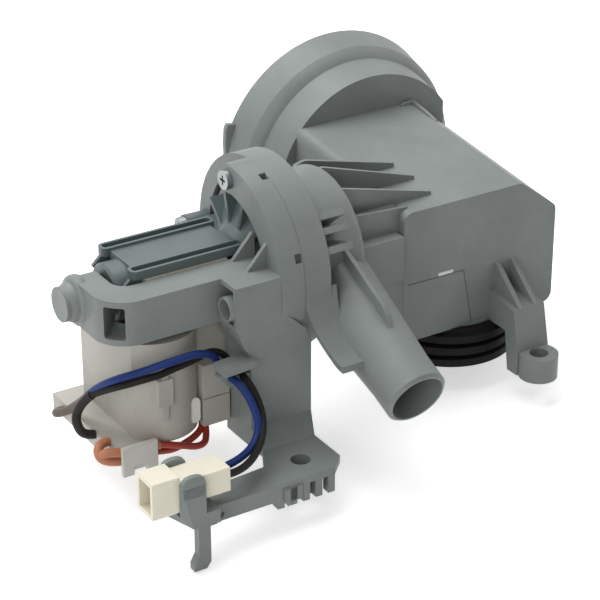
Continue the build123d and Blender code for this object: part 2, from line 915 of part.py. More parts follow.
    # Long gussets from the cup over to the box roof
    for gusset_y, gusset_top_z, gusset_end_x, gusset_end_rise in long_gussets:
        back_share = (gusset_y - box_front_y) / (box_back_y - box_front_y)
        roof_z = box_front_top_z + box_top_rise * back_share
        with BuildSketch(front(gusset_y + rib_thick)):
            with BuildLine():
                Polyline(
                    (cup_end_x - cup_round - small_round, duct_top_z - wall),
                    (cup_end_x - cup_round - small_round, gusset_top_z - small_round),
                    (cup_end_x - small_round, gusset_top_z),
                    (cup_end_x + small_round, gusset_top_z),
                    (gusset_end_x, roof_z + gusset_end_rise),
                    (gusset_end_x, roof_z - small_round),
                    (box_left_x + small_round, roof_z - wall),
                    (box_left_x + small_round, duct_top_z - wall),
                    close=True,
                )
            make_face()
        extrude(amount=rib_thick)
    # Scroll tongue between the disc's rim and the spout
    with BuildSketch(crosswise(tongue_left_x)):
        with BuildLine():
            Spline(*tongue_curve)
        trace(line_width=tongue_thick)
    extrude(amount=tongue_width)
    # Short ribs on the cup's wall
    for rib_angle in cup_rib_angles:
        spoke = on_circle(1, rib_angle)
        with BuildSketch(
            Plane(
                origin=(volute_x - overrun, axis_y, axis_z),
                x_dir=(0, spoke[0], spoke[1]),
                z_dir=(0, spoke[1], -spoke[0]),
            )
        ):
            with BuildLine():
                Polyline(
                    (cup_rib_inner_radius, 0),
                    (disc_radius - small_round / 2, 0),
                    (disc_radius - small_round / 2, cup_rib_length),
                    (cup_rib_inner_radius, cup_rib_length),
                    close=True,
                )
            make_face()
        extrude(amount=cup_rib_thick / 2, both=True)
    # Ridge along the top of the spout
    with BuildSketch(crosswise(spout_x - spout_fin_thick / 2)):
        with BuildLine():
            Polyline(*spout_ridge, close=True)
        make_face()
    extrude(amount=spout_fin_thick)

# The moulding in three lengths: volute with the spout, box with the leg, collar
with BuildPart() as volute_housing:
    add(filter_housing.part)
    split(bisect_by=crosswise(box_left_x), keep=Keep.BOTTOM)
    split(bisect_by=front(box_back_y - small_round), keep=Keep.TOP)
with BuildPart() as filter_box:
    add(filter_housing.part)
    split(bisect_by=crosswise(box_left_x), keep=Keep.TOP)
    split(bisect_by=front(box_back_y - small_round), keep=Keep.TOP)
with BuildPart() as filter_collar:
    add(filter_housing.part)
    split(bisect_by=front(box_back_y - small_round), keep=Keep.BOTTOM)

# Inlet seal: rubber sleeve with three ribs round the neck
seal_rib_pitch = (box_bottom_z - seal_bottom_z) / seal_rib_count
seal_bore_radius = inlet_neck_radius + seat_gap
with BuildPart() as inlet_seal:
    seal_profile = Plane(origin=(filter_x, inlet_y, 0), x_dir=(1, 0, 0), z_dir=(0, -1, 0))
    with BuildSketch(seal_profile):
        with BuildLine():
            rib_points = []
            for rib in range(seal_rib_count):
                low = seal_bottom_z + rib * seal_rib_pitch
                rib_points += [
                    (seal_outer_radius, low),
                    (seal_outer_radius, low + seal_rib_pitch * seal_rib_crest_share),
                    (seal_neck_outer_radius, low + seal_rib_pitch * seal_rib_root_share),
                    (seal_neck_outer_radius, low + seal_rib_pitch - seat_gap),
                ]
            inner_low_radius = inlet_bore_radius + wall / 2
            Polyline(
                (inner_low_radius, seal_bottom_z),
                *rib_points,
                (seal_bore_radius, box_bottom_z - seat_gap),
                (seal_bore_radius, box_bottom_z - inlet_neck_drop - seat_gap),
                (inner_low_radius, box_bottom_z - inlet_neck_drop - seat_gap),
                close=True,
            )
        make_face()
    revolve(axis=Axis((filter_x, inlet_y, 0), (0, 0, 1)))

# Rotor canister: closed tube, rails over the core and flange against the housing
canister_flange_x = joint_x + cover_recess_depth - seat_gap
ear_angle = first_screw_angle - 90
with BuildPart() as rotor_canister:
    with BuildSketch(rotor_profile):
        with BuildLine():
            Polyline(
                (canister_left_x, 0),
                (canister_left_x, canister_radius - small_round),
                (canister_left_x + small_round, canister_radius),
                (flange_x, canister_radius),
                (flange_x + wall, canister_radius + wall),
                (canister_flange_x - canister_flange_thick, canister_flange_radius - wall),
                (canister_flange_x - canister_flange_thick, canister_flange_radius),
                (canister_flange_x, canister_flange_radius),
                (canister_flange_x, 0),
                close=True,
            )
        make_face()
    revolve(axis=rotor_axis)
    with BuildSketch(rotor_profile):
        with BuildLine():
            Polyline(
                (canister_left_x + canister_wall, 0),
                (canister_left_x + canister_wall, canister_radius - canister_wall),
                (canister_flange_x + overrun, canister_radius - canister_wall),
                (canister_flange_x + overrun, 0),
                close=True,
            )
        make_face()
    revolve(axis=rotor_axis, mode=Mode.SUBTRACT)
    # Ribs of the flange, seen through the bracket's ring
    for rib in range(flange_ribs):
        rib_angle = (rib + 1 / 2) * 360 / flange_ribs
        with BuildSketch(across(flange_x + wall)):
            with BuildLine():
                half = rib_thick / 2
                inner = canister_radius
                outer = flange_inner_radius - wall
                spin = radians(rib_angle)
                corners = [(inner, -half), (outer, -half), (outer, half), (inner, half)]
                Polyline(
                    *[
                        (x * cos(spin) - y * sin(spin), x * sin(spin) + y * cos(spin))
                        for x, y in corners
                    ],
                    close=True,
                )
            make_face()
        extrude(amount=canister_flange_x - canister_flange_thick - flange_x - wall + small_round)
    # Rails that hold the core
    rail_bottom_z = core_top_z + seat_gap
    for side in (-1, 1):
        rail_mid_y = axis_y + side * (core_leg_inner + rail_width / 2 - small_round)
        with BuildSketch(Plane.XY.offset(rail_bottom_z)):
            with Locations(((rail_left_x + flange_x) / 2, rail_mid_y)):
                RectangleRounded(flange_x - rail_left_x, rail_width, rail_width / 2 - small_round / 2)
        extrude(amount=rail_thick)
    with BuildSketch(crosswise(rail_left_x + rail_width / 2)):
        with BuildLine():
            web_half = core_leg_inner - small_round
            Polyline(
                (axis_y - web_half, axis_z + canister_radius / 2),
                (axis_y - web_half, rail_bottom_z + rail_thick - small_round),
                (axis_y + web_half, rail_bottom_z + rail_thick - small_round),
                (axis_y + web_half, axis_z + canister_radius / 2),
                close=True,
            )
        make_face()
    extrude(amount=flange_x - rail_left_x - rail_width)
    for side in (-1, 1):
        rail_mid_y = axis_y + side * (core_leg_inner + rail_width / 2 - small_round)
        with BuildSketch(Plane.XY.offset(rail_bottom_z + rail_thick - rail_groove_depth)):
            with Locations(((rail_left_x + flange_x) / 2, rail_mid_y)):
                groove_length = flange_x - rail_left_x - 2 * rail_rim
                groove_width = rail_width - 2 * rail_rim
                RectangleRounded(groove_length, groove_width, groove_width / 2 - small_round / 5)
        extrude(amount=rail_thick, mode=Mode.SUBTRACT)
        # Small gusset from the tube to the rail's end
        with BuildSketch(front(rail_mid_y + rib_thick / 2)):
            with BuildLine():
                Polyline(
                    (rail_left_x + rail_rim, rail_bottom_z + rail_rim),
                    (rail_left_x - rail_thick, rail_bottom_z - rail_thick),
                    (rail_left_x + rail_rim, axis_z),
                    (core_left_x - seat_gap, axis_z),
                    (core_left_x - seat_gap, rail_bottom_z + rail_rim),
                    close=True,
                )
            make_face()
        extrude(amount=rib_thick)
    with BuildSketch(across(canister_left_x + canister_wall)):
        Circle(canister_radius - canister_wall)
    extrude(amount=canister_flange_x - canister_left_x + overrun, mode=Mode.SUBTRACT)
    # Ear and boss of the second screw
    with BuildSketch(across(joint_x - canister_flange_thick)):
        with BuildLine():
            half = screw_head_radius + small_round / 2
            Polyline(
                (canister_radius + wall, -half),
                (screw_circle_radius, -half),
                (screw_circle_radius, half),
                (canister_radius + wall, half),
                close=True,
            )
        make_face()
        with Locations(on_circle(screw_circle_radius, ear_angle)):
            Circle(half)
    extrude(amount=canister_flange_thick - seat_gap)
    with BuildSketch(across(flange_x)):
        with Locations(on_circle(screw_circle_radius, ear_angle)):
            Circle(half)
    extrude(amount=flange_thick - seat_gap)
    with BuildSketch(across(flange_x - overrun)):
        with Locations(on_circle(screw_circle_radius, ear_angle)):
            Circle(ring_hole_radius)
    extrude(amount=flange_thick + 2 * overrun, mode=Mode.SUBTRACT)

# Stator core: legs either side of the canister, yoke below
with BuildPart() as stator_core:
    with BuildSketch(across(core_left_x)):
        with BuildLine():
            top = core_top_z - axis_z
            bottom = core_bottom_z - axis_z
            Polyline(
                (-core_half_width, bottom),
                (-core_half_width, top),
                (-core_leg_inner, top),
                (-core_leg_inner, bottom + core_yoke),
                (core_leg_inner, bottom + core_yoke),
                (core_leg_inner, top),
                (core_half_width, top),
                (core_half_width, bottom),
                close=True,
            )
        make_face()
        Circle(canister_radius + pole_gap, mode=Mode.SUBTRACT)
    extrude(amount=core_right_x - core_left_x)

# Coils round the two legs
coils = []
leg_width_y = core_half_width - core_leg_inner
for side, name in ((-1, "near_coil"), (1, "far_coil")):
    coil_y = axis_y + side * (core_half_width + core_leg_inner) / 2
    with BuildPart() as coil:
        with BuildSketch(Plane.XY.offset(coil_top_z - coil_height)):
            with Locations(((core_left_x + core_right_x) / 2, coil_y)):
                core_long = core_right_x - core_left_x + 2 * seat_gap
                RectangleRounded(
                    core_long + 2 * coil_thick,
                    leg_width_y + 2 * coil_thick,
                    coil_thick,
                )
                Rectangle(core_long, leg_width_y + 2 * seat_gap, mode=Mode.SUBTRACT)
        extrude(amount=coil_height)
    coil.part.label = name
    coils.append(coil)

# Coil case: moulding round the coils and the yoke, terminal bar and terminal block
case_mid_x = (case_left_x + case_right_x) / 2
coil_reach = core_half_width + coil_thick + free_gap
with BuildPart() as coil_case:
    with BuildSketch(Plane.XY.offset(case_bottom_z)) as case_plan:
        with BuildLine():
            back_y = axis_y + case_half_width
            front_y = axis_y - case_half_width
            start = (case_left_x, back_y)
            Line((case_right_x, back_y), start)
            Line(start, (case_left_x, front_y))
            ThreePointArc(
                (case_left_x, front_y),
                ((case_left_x + block_left_x) / 2, front_y - case_bulge),
                (block_left_x, front_y),
            )
            Line((block_left_x, front_y), (case_right_x, front_y))
            Line((case_right_x, front_y), (case_right_x, back_y))
        make_face()
    extrude(amount=case_top_z - case_bottom_z)
    with BuildSketch(Plane.XY.offset(case_bottom_z)):
        with BuildLine():
            Polyline(
                (block_left_x, block_front_y),
                (block_right_x, block_front_y),
                (block_right_x, front_y + overrun),
                (block_left_x, front_y + overrun),
                close=True,
            )
        make_face()
    extrude(amount=coil_top_z - case_bottom_z - wall)
    with BuildSketch(Plane.XY.offset(bar_bottom_z)):
        with BuildLine():
            Polyline(
                (bar_left_x, bar_front_y),
                (bar_left_x + bar_width + wall, bar_front_y),
                (bar_left_x + bar_width + wall, bar_back_y),
                (bar_left_x, bar_back_y),
                close=True,
            )
        make_face()
    extrude(amount=case_bottom_z - bar_bottom_z + small_round)
    # Room for core and coils
    with BuildSketch(Plane.XY.offset(core_bottom_z - seat_gap)):
        with Locations(((core_left_x + core_right_x) / 2, axis_y)):
            Rectangle(core_long, 2 * (core_half_width + seat_gap))
    extrude(amount=case_top_z, mode=Mode.SUBTRACT)
    with BuildSketch(Plane.XY.offset(coil_top_z - coil_height - seat_gap)):
        with Locations(((core_left_x + core_right_x) / 2, axis_y)):
            Rectangle(core_long + 2 * (coil_thick + free_gap), 2 * coil_reach)
    extrude(amount=coil_height + case_top_z, mode=Mode.SUBTRACT)

    # Latch on the bulging face, with its stem
    bulge_y = axis_y - case_half_width - case_bulge
    latch_steps = (
        (latch_head_width, latch_low_z, latch_high_z),
        (latch_stem_width, latch_stem_low_z, latch_stem_high_z),
    )
    for latch_width, low_z, high_z in latch_steps:
        with BuildSketch(front(bulge_y + wall)):
            with Locations((latch_x, (low_z + high_z) / 2)):
                Rectangle(latch_width, high_z - low_z)
        extrude(amount=wall + (latch_raise if latch_width > latch_stem_width else latch_raise / 2))
    # Window of the winding peg
    with BuildSketch(front(peg_back_y + seat_gap)):
        with Locations((peg_x, peg_z)):
            SlotOverall(peg_height + 2 * seat_gap, peg_width + 2 * seat_gap, rotation=90)
    extrude(amount=peg_depth + case_bulge, mode=Mode.SUBTRACT)
    # Groove round the terminal block
    with BuildSketch(front(block_front_y + small_round / 2)):
        with Locations(((block_left_x + block_right_x) / 2, block_groove_z)):
            Rectangle(block_right_x - block_left_x + 2 * overrun, small_round / 2)
    extrude(amount=wall, mode=Mode.SUBTRACT)

# Winding peg in the case's window
with BuildPart() as winding_peg:
    with BuildSketch(front(peg_back_y)):
        with Locations((peg_x, peg_z)):
            SlotOverall(peg_height, peg_width, rotation=90)
    extrude(amount=peg_depth)

# Parts on the rotor line
front_bearing_x = canister_flange_x - bearing_length
with BuildPart() as tail_damper:
    with BuildSketch(rotor_profile):
        with BuildLine():
            Polyline(
                (tail_right_x - tail_socket_depth + seat_gap, 0),
                (tail_right_x - tail_socket_depth + seat_gap, tail_socket_radius - seat_gap),
                (canister_left_x - seat_gap, tail_socket_radius - seat_gap),
                (canister_left_x - seat_gap, 0),
                close=True,
            )
        make_face()
    revolve(axis=rotor_axis)

bearing_seat_radius = canister_radius - canister_wall - seat_gap
with BuildPart() as rear_bearing:
    with BuildSketch(rotor_profile):
        with BuildLine():
            left = canister_left_x + canister_wall + seat_gap
            Polyline(
                (left, shaft_radius + running_gap),
                (left, bearing_seat_radius),
                (left + bearing_length, bearing_seat_radius),
                (left + bearing_length, shaft_radius + running_gap),
                close=True,
            )
        make_face()
    revolve(axis=rotor_axis)

with BuildPart() as front_bearing:
    with BuildSketch(rotor_profile):
        with BuildLine():
            Polyline(
                (front_bearing_x, shaft_radius + running_gap),
                (front_bearing_x, bearing_seat_radius),
                (front_bearing_x + bearing_length, bearing_seat_radius),
                (front_bearing_x + bearing_length, shaft_radius + running_gap),
                close=True,
            )
        make_face()
    revolve(axis=rotor_axis)

with BuildPart() as cover_seal:
    with BuildSketch(rotor_profile):
        gasket_x = canister_flange_x - gasket_section / 2
        with Locations((gasket_x, cover_recess_radius - seat_gap - gasket_section / 2)):
            Circle(gasket_section / 2)
    revolve(axis=rotor_axis)

# Rotor: magnet on its shaft with the driving dog
with BuildPart() as rotor_shaft:
    with BuildSketch(across(shaft_left_x)):
        Circle(shaft_radius)
    extrude(amount=shaft_right_x - shaft_left_x)

with BuildPart() as rotor_magnet:
    with BuildSketch(across(magnet_left_x)):
        Circle(magnet_radius)
        Circle(shaft_radius, mode=Mode.SUBTRACT)
    extrude(amount=magnet_length)

with BuildPart() as drive_dog:
    with BuildSketch(across(dog_x)):
        Circle(dog_radius)
        Circle(shaft_radius, mode=Mode.SUBTRACT)
    extrude(amount=dog_length)
    with BuildSketch(across(dog_x)):
        with Locations(((dog_radius + shaft_radius) / 2, 0)):
            Rectangle(dog_radius - shaft_radius + small_round / 2, dog_key_width)
    extrude(amount=dog_length * 2)
    with BuildSketch(across(dog_x)):
        Circle(shaft_radius)
    extrude(amount=dog_length * 2, mode=Mode.SUBTRACT)

# Impeller: hub with the dog's chamber, four blades
with BuildPart() as impeller:
    with BuildSketch(across(impeller_left_x)):
        Circle(impeller_hub_radius)
    extrude(amount=impeller_length)
    with BuildSketch(across(impeller_left_x)):
        Circle(impeller_radius * impeller_disc_share)
    extrude(amount=blade_thick)
    with BuildSketch(across(impeller_left_x)):
        with PolarLocations(0, impeller_blades):
            with Locations(((impeller_radius + impeller_hub_radius - impeller_hub_wall) / 2, 0)):
                Rectangle(impeller_radius - impeller_hub_radius + impeller_hub_wall, blade_thick)
    extrude(amount=impeller_length - blade_thick)
    with BuildSketch(across(impeller_left_x)):
        Circle(impeller_hub_radius - impeller_hub_wall)
    extrude(amount=impeller_cavity_depth, mode=Mode.SUBTRACT)
    with BuildSketch(across(impeller_left_x)):
        stop_outer = impeller_hub_radius - impeller_hub_wall / 2
        with BuildLine():
            Polyline(
                on_circle(stop_inner_radius, 180 - stop_half_angle),
                on_circle(stop_outer, 180 - stop_half_angle),
                on_circle(stop_outer, 180 + stop_half_angle),
                on_circle(stop_inner_radius, 180 + stop_half_angle),
                close=True,
            )
        make_face()
    extrude(amount=impeller_cavity_depth + small_round / 2)
    with BuildSketch(across(impeller_left_x)):
        Circle(shaft_radius + running_gap)
    extrude(amount=shaft_right_x - impeller_left_x + free_gap, mode=Mode.SUBTRACT)

# Filter: cap with its plug and bar handle, slotted basket, sealing ring
neck_end_y = dish_floor_y - small_round + neck_length
cap_flange_y = neck_end_y + free_gap
plug_inner_radius = plug_radius - plug_wall
ring_centre_radius = neck_radius - ring_gap - ring_section / 2
groove_radius = ring_centre_radius - ring_section / 2 - ring_gap
with BuildPart() as filter_cap:
    with BuildSketch(filter_profile):
        with BuildLine():
            Polyline(
                (cap_flange_y + cap_flange_thick, 0),
                (cap_flange_y + cap_flange_thick, cap_flange_radius - small_round),
                (cap_flange_y + cap_flange_thick - small_round, cap_flange_radius),
                (cap_flange_y, cap_flange_radius),
                (cap_flange_y, plug_radius),
                (ring_y + ring_section / 2 + ring_gap, plug_radius),
                (ring_y + ring_section / 2 + ring_gap, groove_radius),
                (ring_y - ring_section / 2 - ring_gap, groove_radius),
                (ring_y - ring_section / 2 - ring_gap, plug_radius),
                (plug_front_y, plug_radius),
                (plug_front_y, plug_inner_radius - wall),
                (plug_front_y + wall, plug_inner_radius - wall),
                (plug_front_y + wall, plug_inner_radius),
                (cap_flange_y - small_round, plug_inner_radius),
                (cap_flange_y - small_round, 0),
                close=True,
            )
        make_face()
    revolve(axis=filter_axis)
    with BuildSketch(facing_filter(cap_flange_y + cap_flange_thick - small_round)):
        RectangleRounded(handle_width, handle_thick, handle_thick / 2 - small_round / 2)
    handle_reach = collar_end_y - cap_flange_y - cap_flange_thick - small_round
    extrude(amount=handle_reach + small_round)
    grip_edges = filter_cap.faces().sort_by(Axis.Y)[-1].edges()
    fillet(grip_edges, small_round)

basket_root_radius = plug_inner_radius - wall - seat_gap
basket_left_y = plug_front_y - small_round
with BuildPart() as filter_basket:
    with BuildSketch(filter_profile):
        with BuildLine():
            Polyline(
                (basket_end_y, 0),
                (basket_end_y, basket_end_radius),
                (basket_left_y, basket_mouth_radius),
                (plug_front_y + wall + seat_gap, basket_root_radius),
                (plug_front_y + wall + seat_gap, plug_inner_radius - seat_gap),
                (plug_front_y + 2 * wall, plug_inner_radius - seat_gap),
                (plug_front_y + 2 * wall, basket_root_radius - basket_wall),
                (basket_left_y, basket_mouth_radius - basket_wall),
                (basket_end_y + basket_wall, basket_end_radius - basket_wall),
                (basket_end_y + basket_wall, 0),
                close=True,
            )
        make_face()
    revolve(axis=filter_axis)
    slot_length = (basket_left_y - basket_end_y) * basket_slot_share
    slot_width = basket_end_radius * basket_gap_share
    for slot in range(basket_slots // 2):
        slot_angle = 360 / basket_slots * slot
        slot_plane = Plane(
            origin=(filter_x, (basket_left_y + basket_end_y) / 2, filter_z),
            x_dir=(0, 1, 0),
            z_dir=(cos(radians(slot_angle)), 0, sin(radians(slot_angle))),
        )
        with BuildSketch(slot_plane):
            RectangleRounded(slot_length, slot_width, slot_width / 3)
        extrude(amount=2 * basket_mouth_radius, both=True, mode=Mode.SUBTRACT)

with BuildPart() as filter_seal:
    with BuildSketch(filter_profile):
        with Locations((ring_y, ring_centre_radius)):
            Circle(ring_section / 2)
    revolve(axis=filter_axis)

with BuildPart() as shaft_seal:
    with BuildSketch(rotor_profile):
        with BuildLine():
            left = canister_flange_x + seat_gap
            Polyline(
                (left, shaft_radius + running_gap),
                (left, bearing_seat_radius + wall),
                (left + thin_wall, bearing_seat_radius),
                (left + 2 * thin_wall, shaft_radius + thin_wall),
                (left + 2 * thin_wall, shaft_radius + running_gap),
                close=True,
            )
        make_face()
    revolve(axis=rotor_axis)

# Flange screws: four alike, heads against one plane
with BuildPart() as flange_screws:
    for quarter in range(4):
        screw_angle = first_screw_angle + 90 * quarter
        with BuildSketch(across(flange_x - seat_gap - screw_head_height)):
            with Locations(on_circle(screw_circle_radius, screw_angle)):
                Circle(screw_head_radius)
        extrude(amount=screw_head_height)
        with BuildSketch(across(flange_x - seat_gap - small_round)):
            with Locations(on_circle(screw_circle_radius, screw_angle)):
                Circle(screw_shank_radius)
        extrude(amount=screw_length)
        with BuildSketch(across(flange_x - seat_gap - screw_head_height)):
            with Locations(on_circle(screw_circle_radius, screw_angle)):
                Rectangle(screw_head_radius, screw_recess)
                Rectangle(screw_recess, screw_head_radius)
        extrude(amount=screw_head_height / 2, mode=Mode.SUBTRACT)

# Connector with its two terminals
with BuildPart() as connector_housing:
    with BuildSketch(crosswise(plug_left_x)):
        with Locations((plug_body_y, plug_mid_z)):
            Rectangle(plug_width, plug_front_height)
    extrude(amount=plug_front_x - plug_left_x)
    with BuildSketch(crosswise(plug_front_x)):
        with Locations((plug_body_y, plug_mid_z)):
            Rectangle(plug_width, plug_rear_height)
    extrude(amount=plug_rear_x - plug_front_x)
    fillet(connector_housing.edges().filter_by(Axis.X), small_round / 2)
    with BuildSketch(crosswise(plug_left_x - overrun)):
        with Locations((plug_body_y, plug_mid_z)):
            Rectangle(plug_width - 2 * plug_mouth_wall, plug_front_height - 2 * plug_mouth_wall)
    extrude(amount=plug_mouth_depth + overrun, mode=Mode.SUBTRACT)
    with BuildSketch(crosswise(plug_left_x + plug_mouth_depth - overrun)):
        for side in (-1, 1):
            with Locations((plug_body_y + side * terminal_pitch / 2, plug_mid_z)):
                Rectangle(terminal_width + 2 * seat_gap, terminal_height + 2 * seat_gap)
    extrude(amount=plug_rear_x - plug_left_x, mode=Mode.SUBTRACT)

terminal_right_x = plug_rear_x - 2 * wall
with BuildPart() as connector_terminals:
    for side in (-1, 1):
        with BuildSketch(crosswise(plug_left_x + 2 * wall)):
            with Locations((plug_body_y + side * terminal_pitch / 2, plug_mid_z)):
                Rectangle(terminal_width, terminal_height)
                Rectangle(
                    terminal_width - 2 * terminal_wall,
                    terminal_height - 2 * terminal_wall,
                    mode=Mode.SUBTRACT,
                )
        extrude(amount=terminal_right_x - plug_left_x - 2 * wall)


def lead_path(points, bend_share=0.45):
    """Straight runs joined by tangent arcs, each arc as large as its two runs allow."""
    spots = [Vector(*p) for p in points]
    radii = []
    for before, at, after in zip(spots, spots[1:], spots[2:]):
        turn = radians((at - before).get_angle(after - at))
        run = min((at - before).length, (after - at).length)
        radii.append(bend_share * run / tan(turn / 2))
    return FilletPolyline(*points, radius=radii), radii


def lead_tube(points, radius):
    """A round lead or sleeve along its route."""
    with BuildPart() as tube:
        with BuildLine() as route:
            path, radii = lead_path(points)
        with BuildSketch(Plane(origin=path @ 0, z_dir=path % 0)):
            Circle(radius)
        sweep(path=route.wires()[0])
    expected = pi * radius**2 * route.wires()[0].length
    print("bend radii", [round(r, 1) for r in radii], "volume share", round(tube.part.volume / expected, 4))
    return tube


blue_entry = (plug_rear_x - seat_gap, plug_body_y + terminal_pitch / 2, plug_mid_z)
black_entry = (plug_rear_x - seat_gap, plug_body_y - terminal_pitch / 2, plug_mid_z)
blue_route = [
    (-59.2, 53.6, 30.6),
    (-57.8, 45.43, 37.13),
    (-53.0, 36.6, 42.4),
    (-46.0, 28.8, 46.0),
    (-34.5, 26.0, 47.2),
    (-25.5, 22.6, 44.2),
    (-18.6, 19.6, 40.3),
    (-14.6, 14.6, 36.6),
    (-15.1, 8.0, 31.6),
    (-18.2, 1.0, 26.6),
    (-24.5, -4.5, 23.8),
    (-31.5, -7.0, 22.2),
    blue_entry,
]
black_route = [
    (-60.6, 50.2, 27.0),
    (-57.6, 43.99, 32.36),
    (-52.5, 35.0, 36.8),
    (-45.5, 27.6, 41.0),
    (-34.0, 25.8, 43.0),
    (-25.0, 24.9, 41.3),
    (-16.4, 22.2, 40.3),
    (-11.8, 16.3, 39.5),
    (-11.2, 10.0, 33.4),
    (-13.6, 2.0, 27.2),
    (-20.0, -5.2, 23.0),
    (-28.5, -10.4, 21.4),
    black_entry,
]
black_sleeve_route = [
    (bar_left_x - seat_gap, 51.6, 11.2),
    (-61.0, 51.6, 11.2),
    (-64.2, 57.2, 15.0),
    (-63.4, 56.0, 22.0),
    (-60.6, 50.2, 27.0),
]
blue_sleeve_route = [
    (bar_left_x - seat_gap, 77.0, 10.2),
    (-61.9, 77.0, 10.2),
    (-62.3, 70.0, 17.0),
    (-60.4, 60.6, 25.0),
    (-59.2, 53.6, 30.6),
]
fuse_sleeve_end_x = -43.6
fuse_sleeve_y = bar_front_y - clip_gap / 2
fuse_sleeve_routes = [
    [
        (bar_left_x - seat_gap, 38.8, 11.4),
        (-61.4, 38.8, 11.4),
        (-62.2, 33.8, upper_fuse_z),
        (-56.8, fuse_sleeve_y, upper_fuse_z),
        (fuse_sleeve_end_x, fuse_sleeve_y, upper_fuse_z),
    ],
    [
        (bar_left_x - seat_gap, 43.6, 11.2),
        (-61.0, 43.6, 11.2),
        (-65.6, 39.5, 10.6),
        (-64.8, 34.0, lower_fuse_z),
        (-59.5, fuse_sleeve_y, lower_fuse_z),
        (fuse_sleeve_end_x, fuse_sleeve_y, lower_fuse_z),
    ],
]
red_routes = [
    [
        (fuse_sleeve_end_x, fuse_sleeve_y, upper_fuse_z),
        (-41.6, fuse_sleeve_y, upper_fuse_z),
        (-36.0, 30.0, 12.8),
        (-30.6, 29.2, 9.6),
        (-24.6, 29.6, 7.4),
        (-20.6, 30.6, 9.0),
        (-19.2, 32.4, 13.8),
        (-19.2, block_front_y - seat_gap, 13.8),
    ],
    [
        (fuse_sleeve_end_x, fuse_sleeve_y, lower_fuse_z),
        (-40.0, fuse_sleeve_y, lower_fuse_z),
        (-34.8, 32.4, 9.6),
        (-28.6, 30.8, 11.2),
        (-23.6, 30.8, 15.4),
        (-19.0, 32.4, 17.4),
        (-19.0, block_front_y - seat_gap, 17.4),
    ],
]
blue_lead = lead_tube(blue_route, wire_radius)
black_lead = lead_tube(black_route, wire_radius)
clip_back_y = bar_front_y - clip_gap
with BuildPart() as fuse_clip:
    with BuildSketch(front(clip_back_y)):
        with BuildLine():
            Polyline(
                (bar_left_x, clip_low_z),
                (bar_left_x, clip_high_z),
                (clip_right_x, clip_high_z),
                (clip_right_x, clip_low_z),
                (clip_right_x - clip_foot, clip_low_z),
                (clip_right_x - clip_foot, clip_low_z + clip_notch_height),
                (bar_left_x + clip_foot, clip_low_z + clip_notch_height),
                (bar_left_x + clip_foot, clip_low_z),
                close=True,
            )
        make_face()
    extrude(amount=thin_wall)
    # Shelf back to the bar
    with BuildSketch(crosswise(bar_left_x + wall)):
        with BuildLine():
            Polyline(
                (clip_back_y - small_round, bar_bottom_z),
                (bar_front_y - seat_gap, bar_bottom_z),
                (bar_front_y - seat_gap, bar_bottom_z + rib_thick),
                (clip_back_y - small_round, bar_bottom_z + rib_thick),
                close=True,
            )
        make_face()
    extrude(amount=clip_right_x - bar_left_x - 2 * wall)

sleeves = []
for route, radius in (
    (black_sleeve_route, sleeve_radius),
    (blue_sleeve_route, sleeve_radius - small_round / 5),
):
    sleeves.append(lead_tube(route, radius))
fuse_sleeves = [lead_tube(route, fuse_sleeve_radius) for route in fuse_sleeve_routes]
red_leads = [lead_tube(route, red_wire_radius) for route in red_routes]


pieces = {
    "motor_bracket": motor_bracket,
    "volute_housing": volute_housing,
    "filter_box": filter_box,
    "filter_collar": filter_collar,
    "inlet_seal": inlet_seal,
    "rotor_canister": rotor_canister,
    "stator_core": stator_core,
    "near_coil": coils[0],
    "far_coil": coils[1],
    "coil_case": coil_case,
    "tail_damper": tail_damper,
    "rear_bearing": rear_bearing,
    "front_bearing": front_bearing,
    "cover_seal": cover_seal,
    "shaft_seal": shaft_seal,
    "rotor_shaft": rotor_shaft,
    "rotor_magnet": rotor_magnet,
    "drive_dog": drive_dog,
    "impeller": impeller,
    "filter_cap": filter_cap,
    "filter_basket": filter_basket,
    "filter_seal": filter_seal,
    "flange_screws": flange_screws,
    "connector_housing": connector_housing,
    "connector_terminals": connector_terminals,
    "blue_lead": blue_lead,
    "black_lead": black_lead,
    "fuse_clip": fuse_clip,
    "winding_peg": winding_peg,
    "black_sleeve": sleeves[0],
    "blue_sleeve": sleeves[1],
    "upper_fuse_sleeve": fuse_sleeves[0],
    "lower_fuse_sleeve": fuse_sleeves[1],
    "front_red_lead": red_leads[0],
    "back_red_lead": red_leads[1],
}
os.makedirs("parts", exist_ok=True)
for name, piece in pieces.items():
    piece.part.label = name
    export_step(piece.part, f"parts/{name}.step")
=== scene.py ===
# %% [markdown]
# # Washer drain pump
#
# A drain pump from a washing machine: a grey filter box with a dished collar, a volute
# with its outlet spout, an open-frame motor on a moulded bracket, and the leads that
# run from the motor to a cream connector. The solids come from the CAD frame. This
# script gives each of them a material, adds what the solids leave out, and sets the
# light and the camera.

from math import cos, hypot, pi, radians, sin

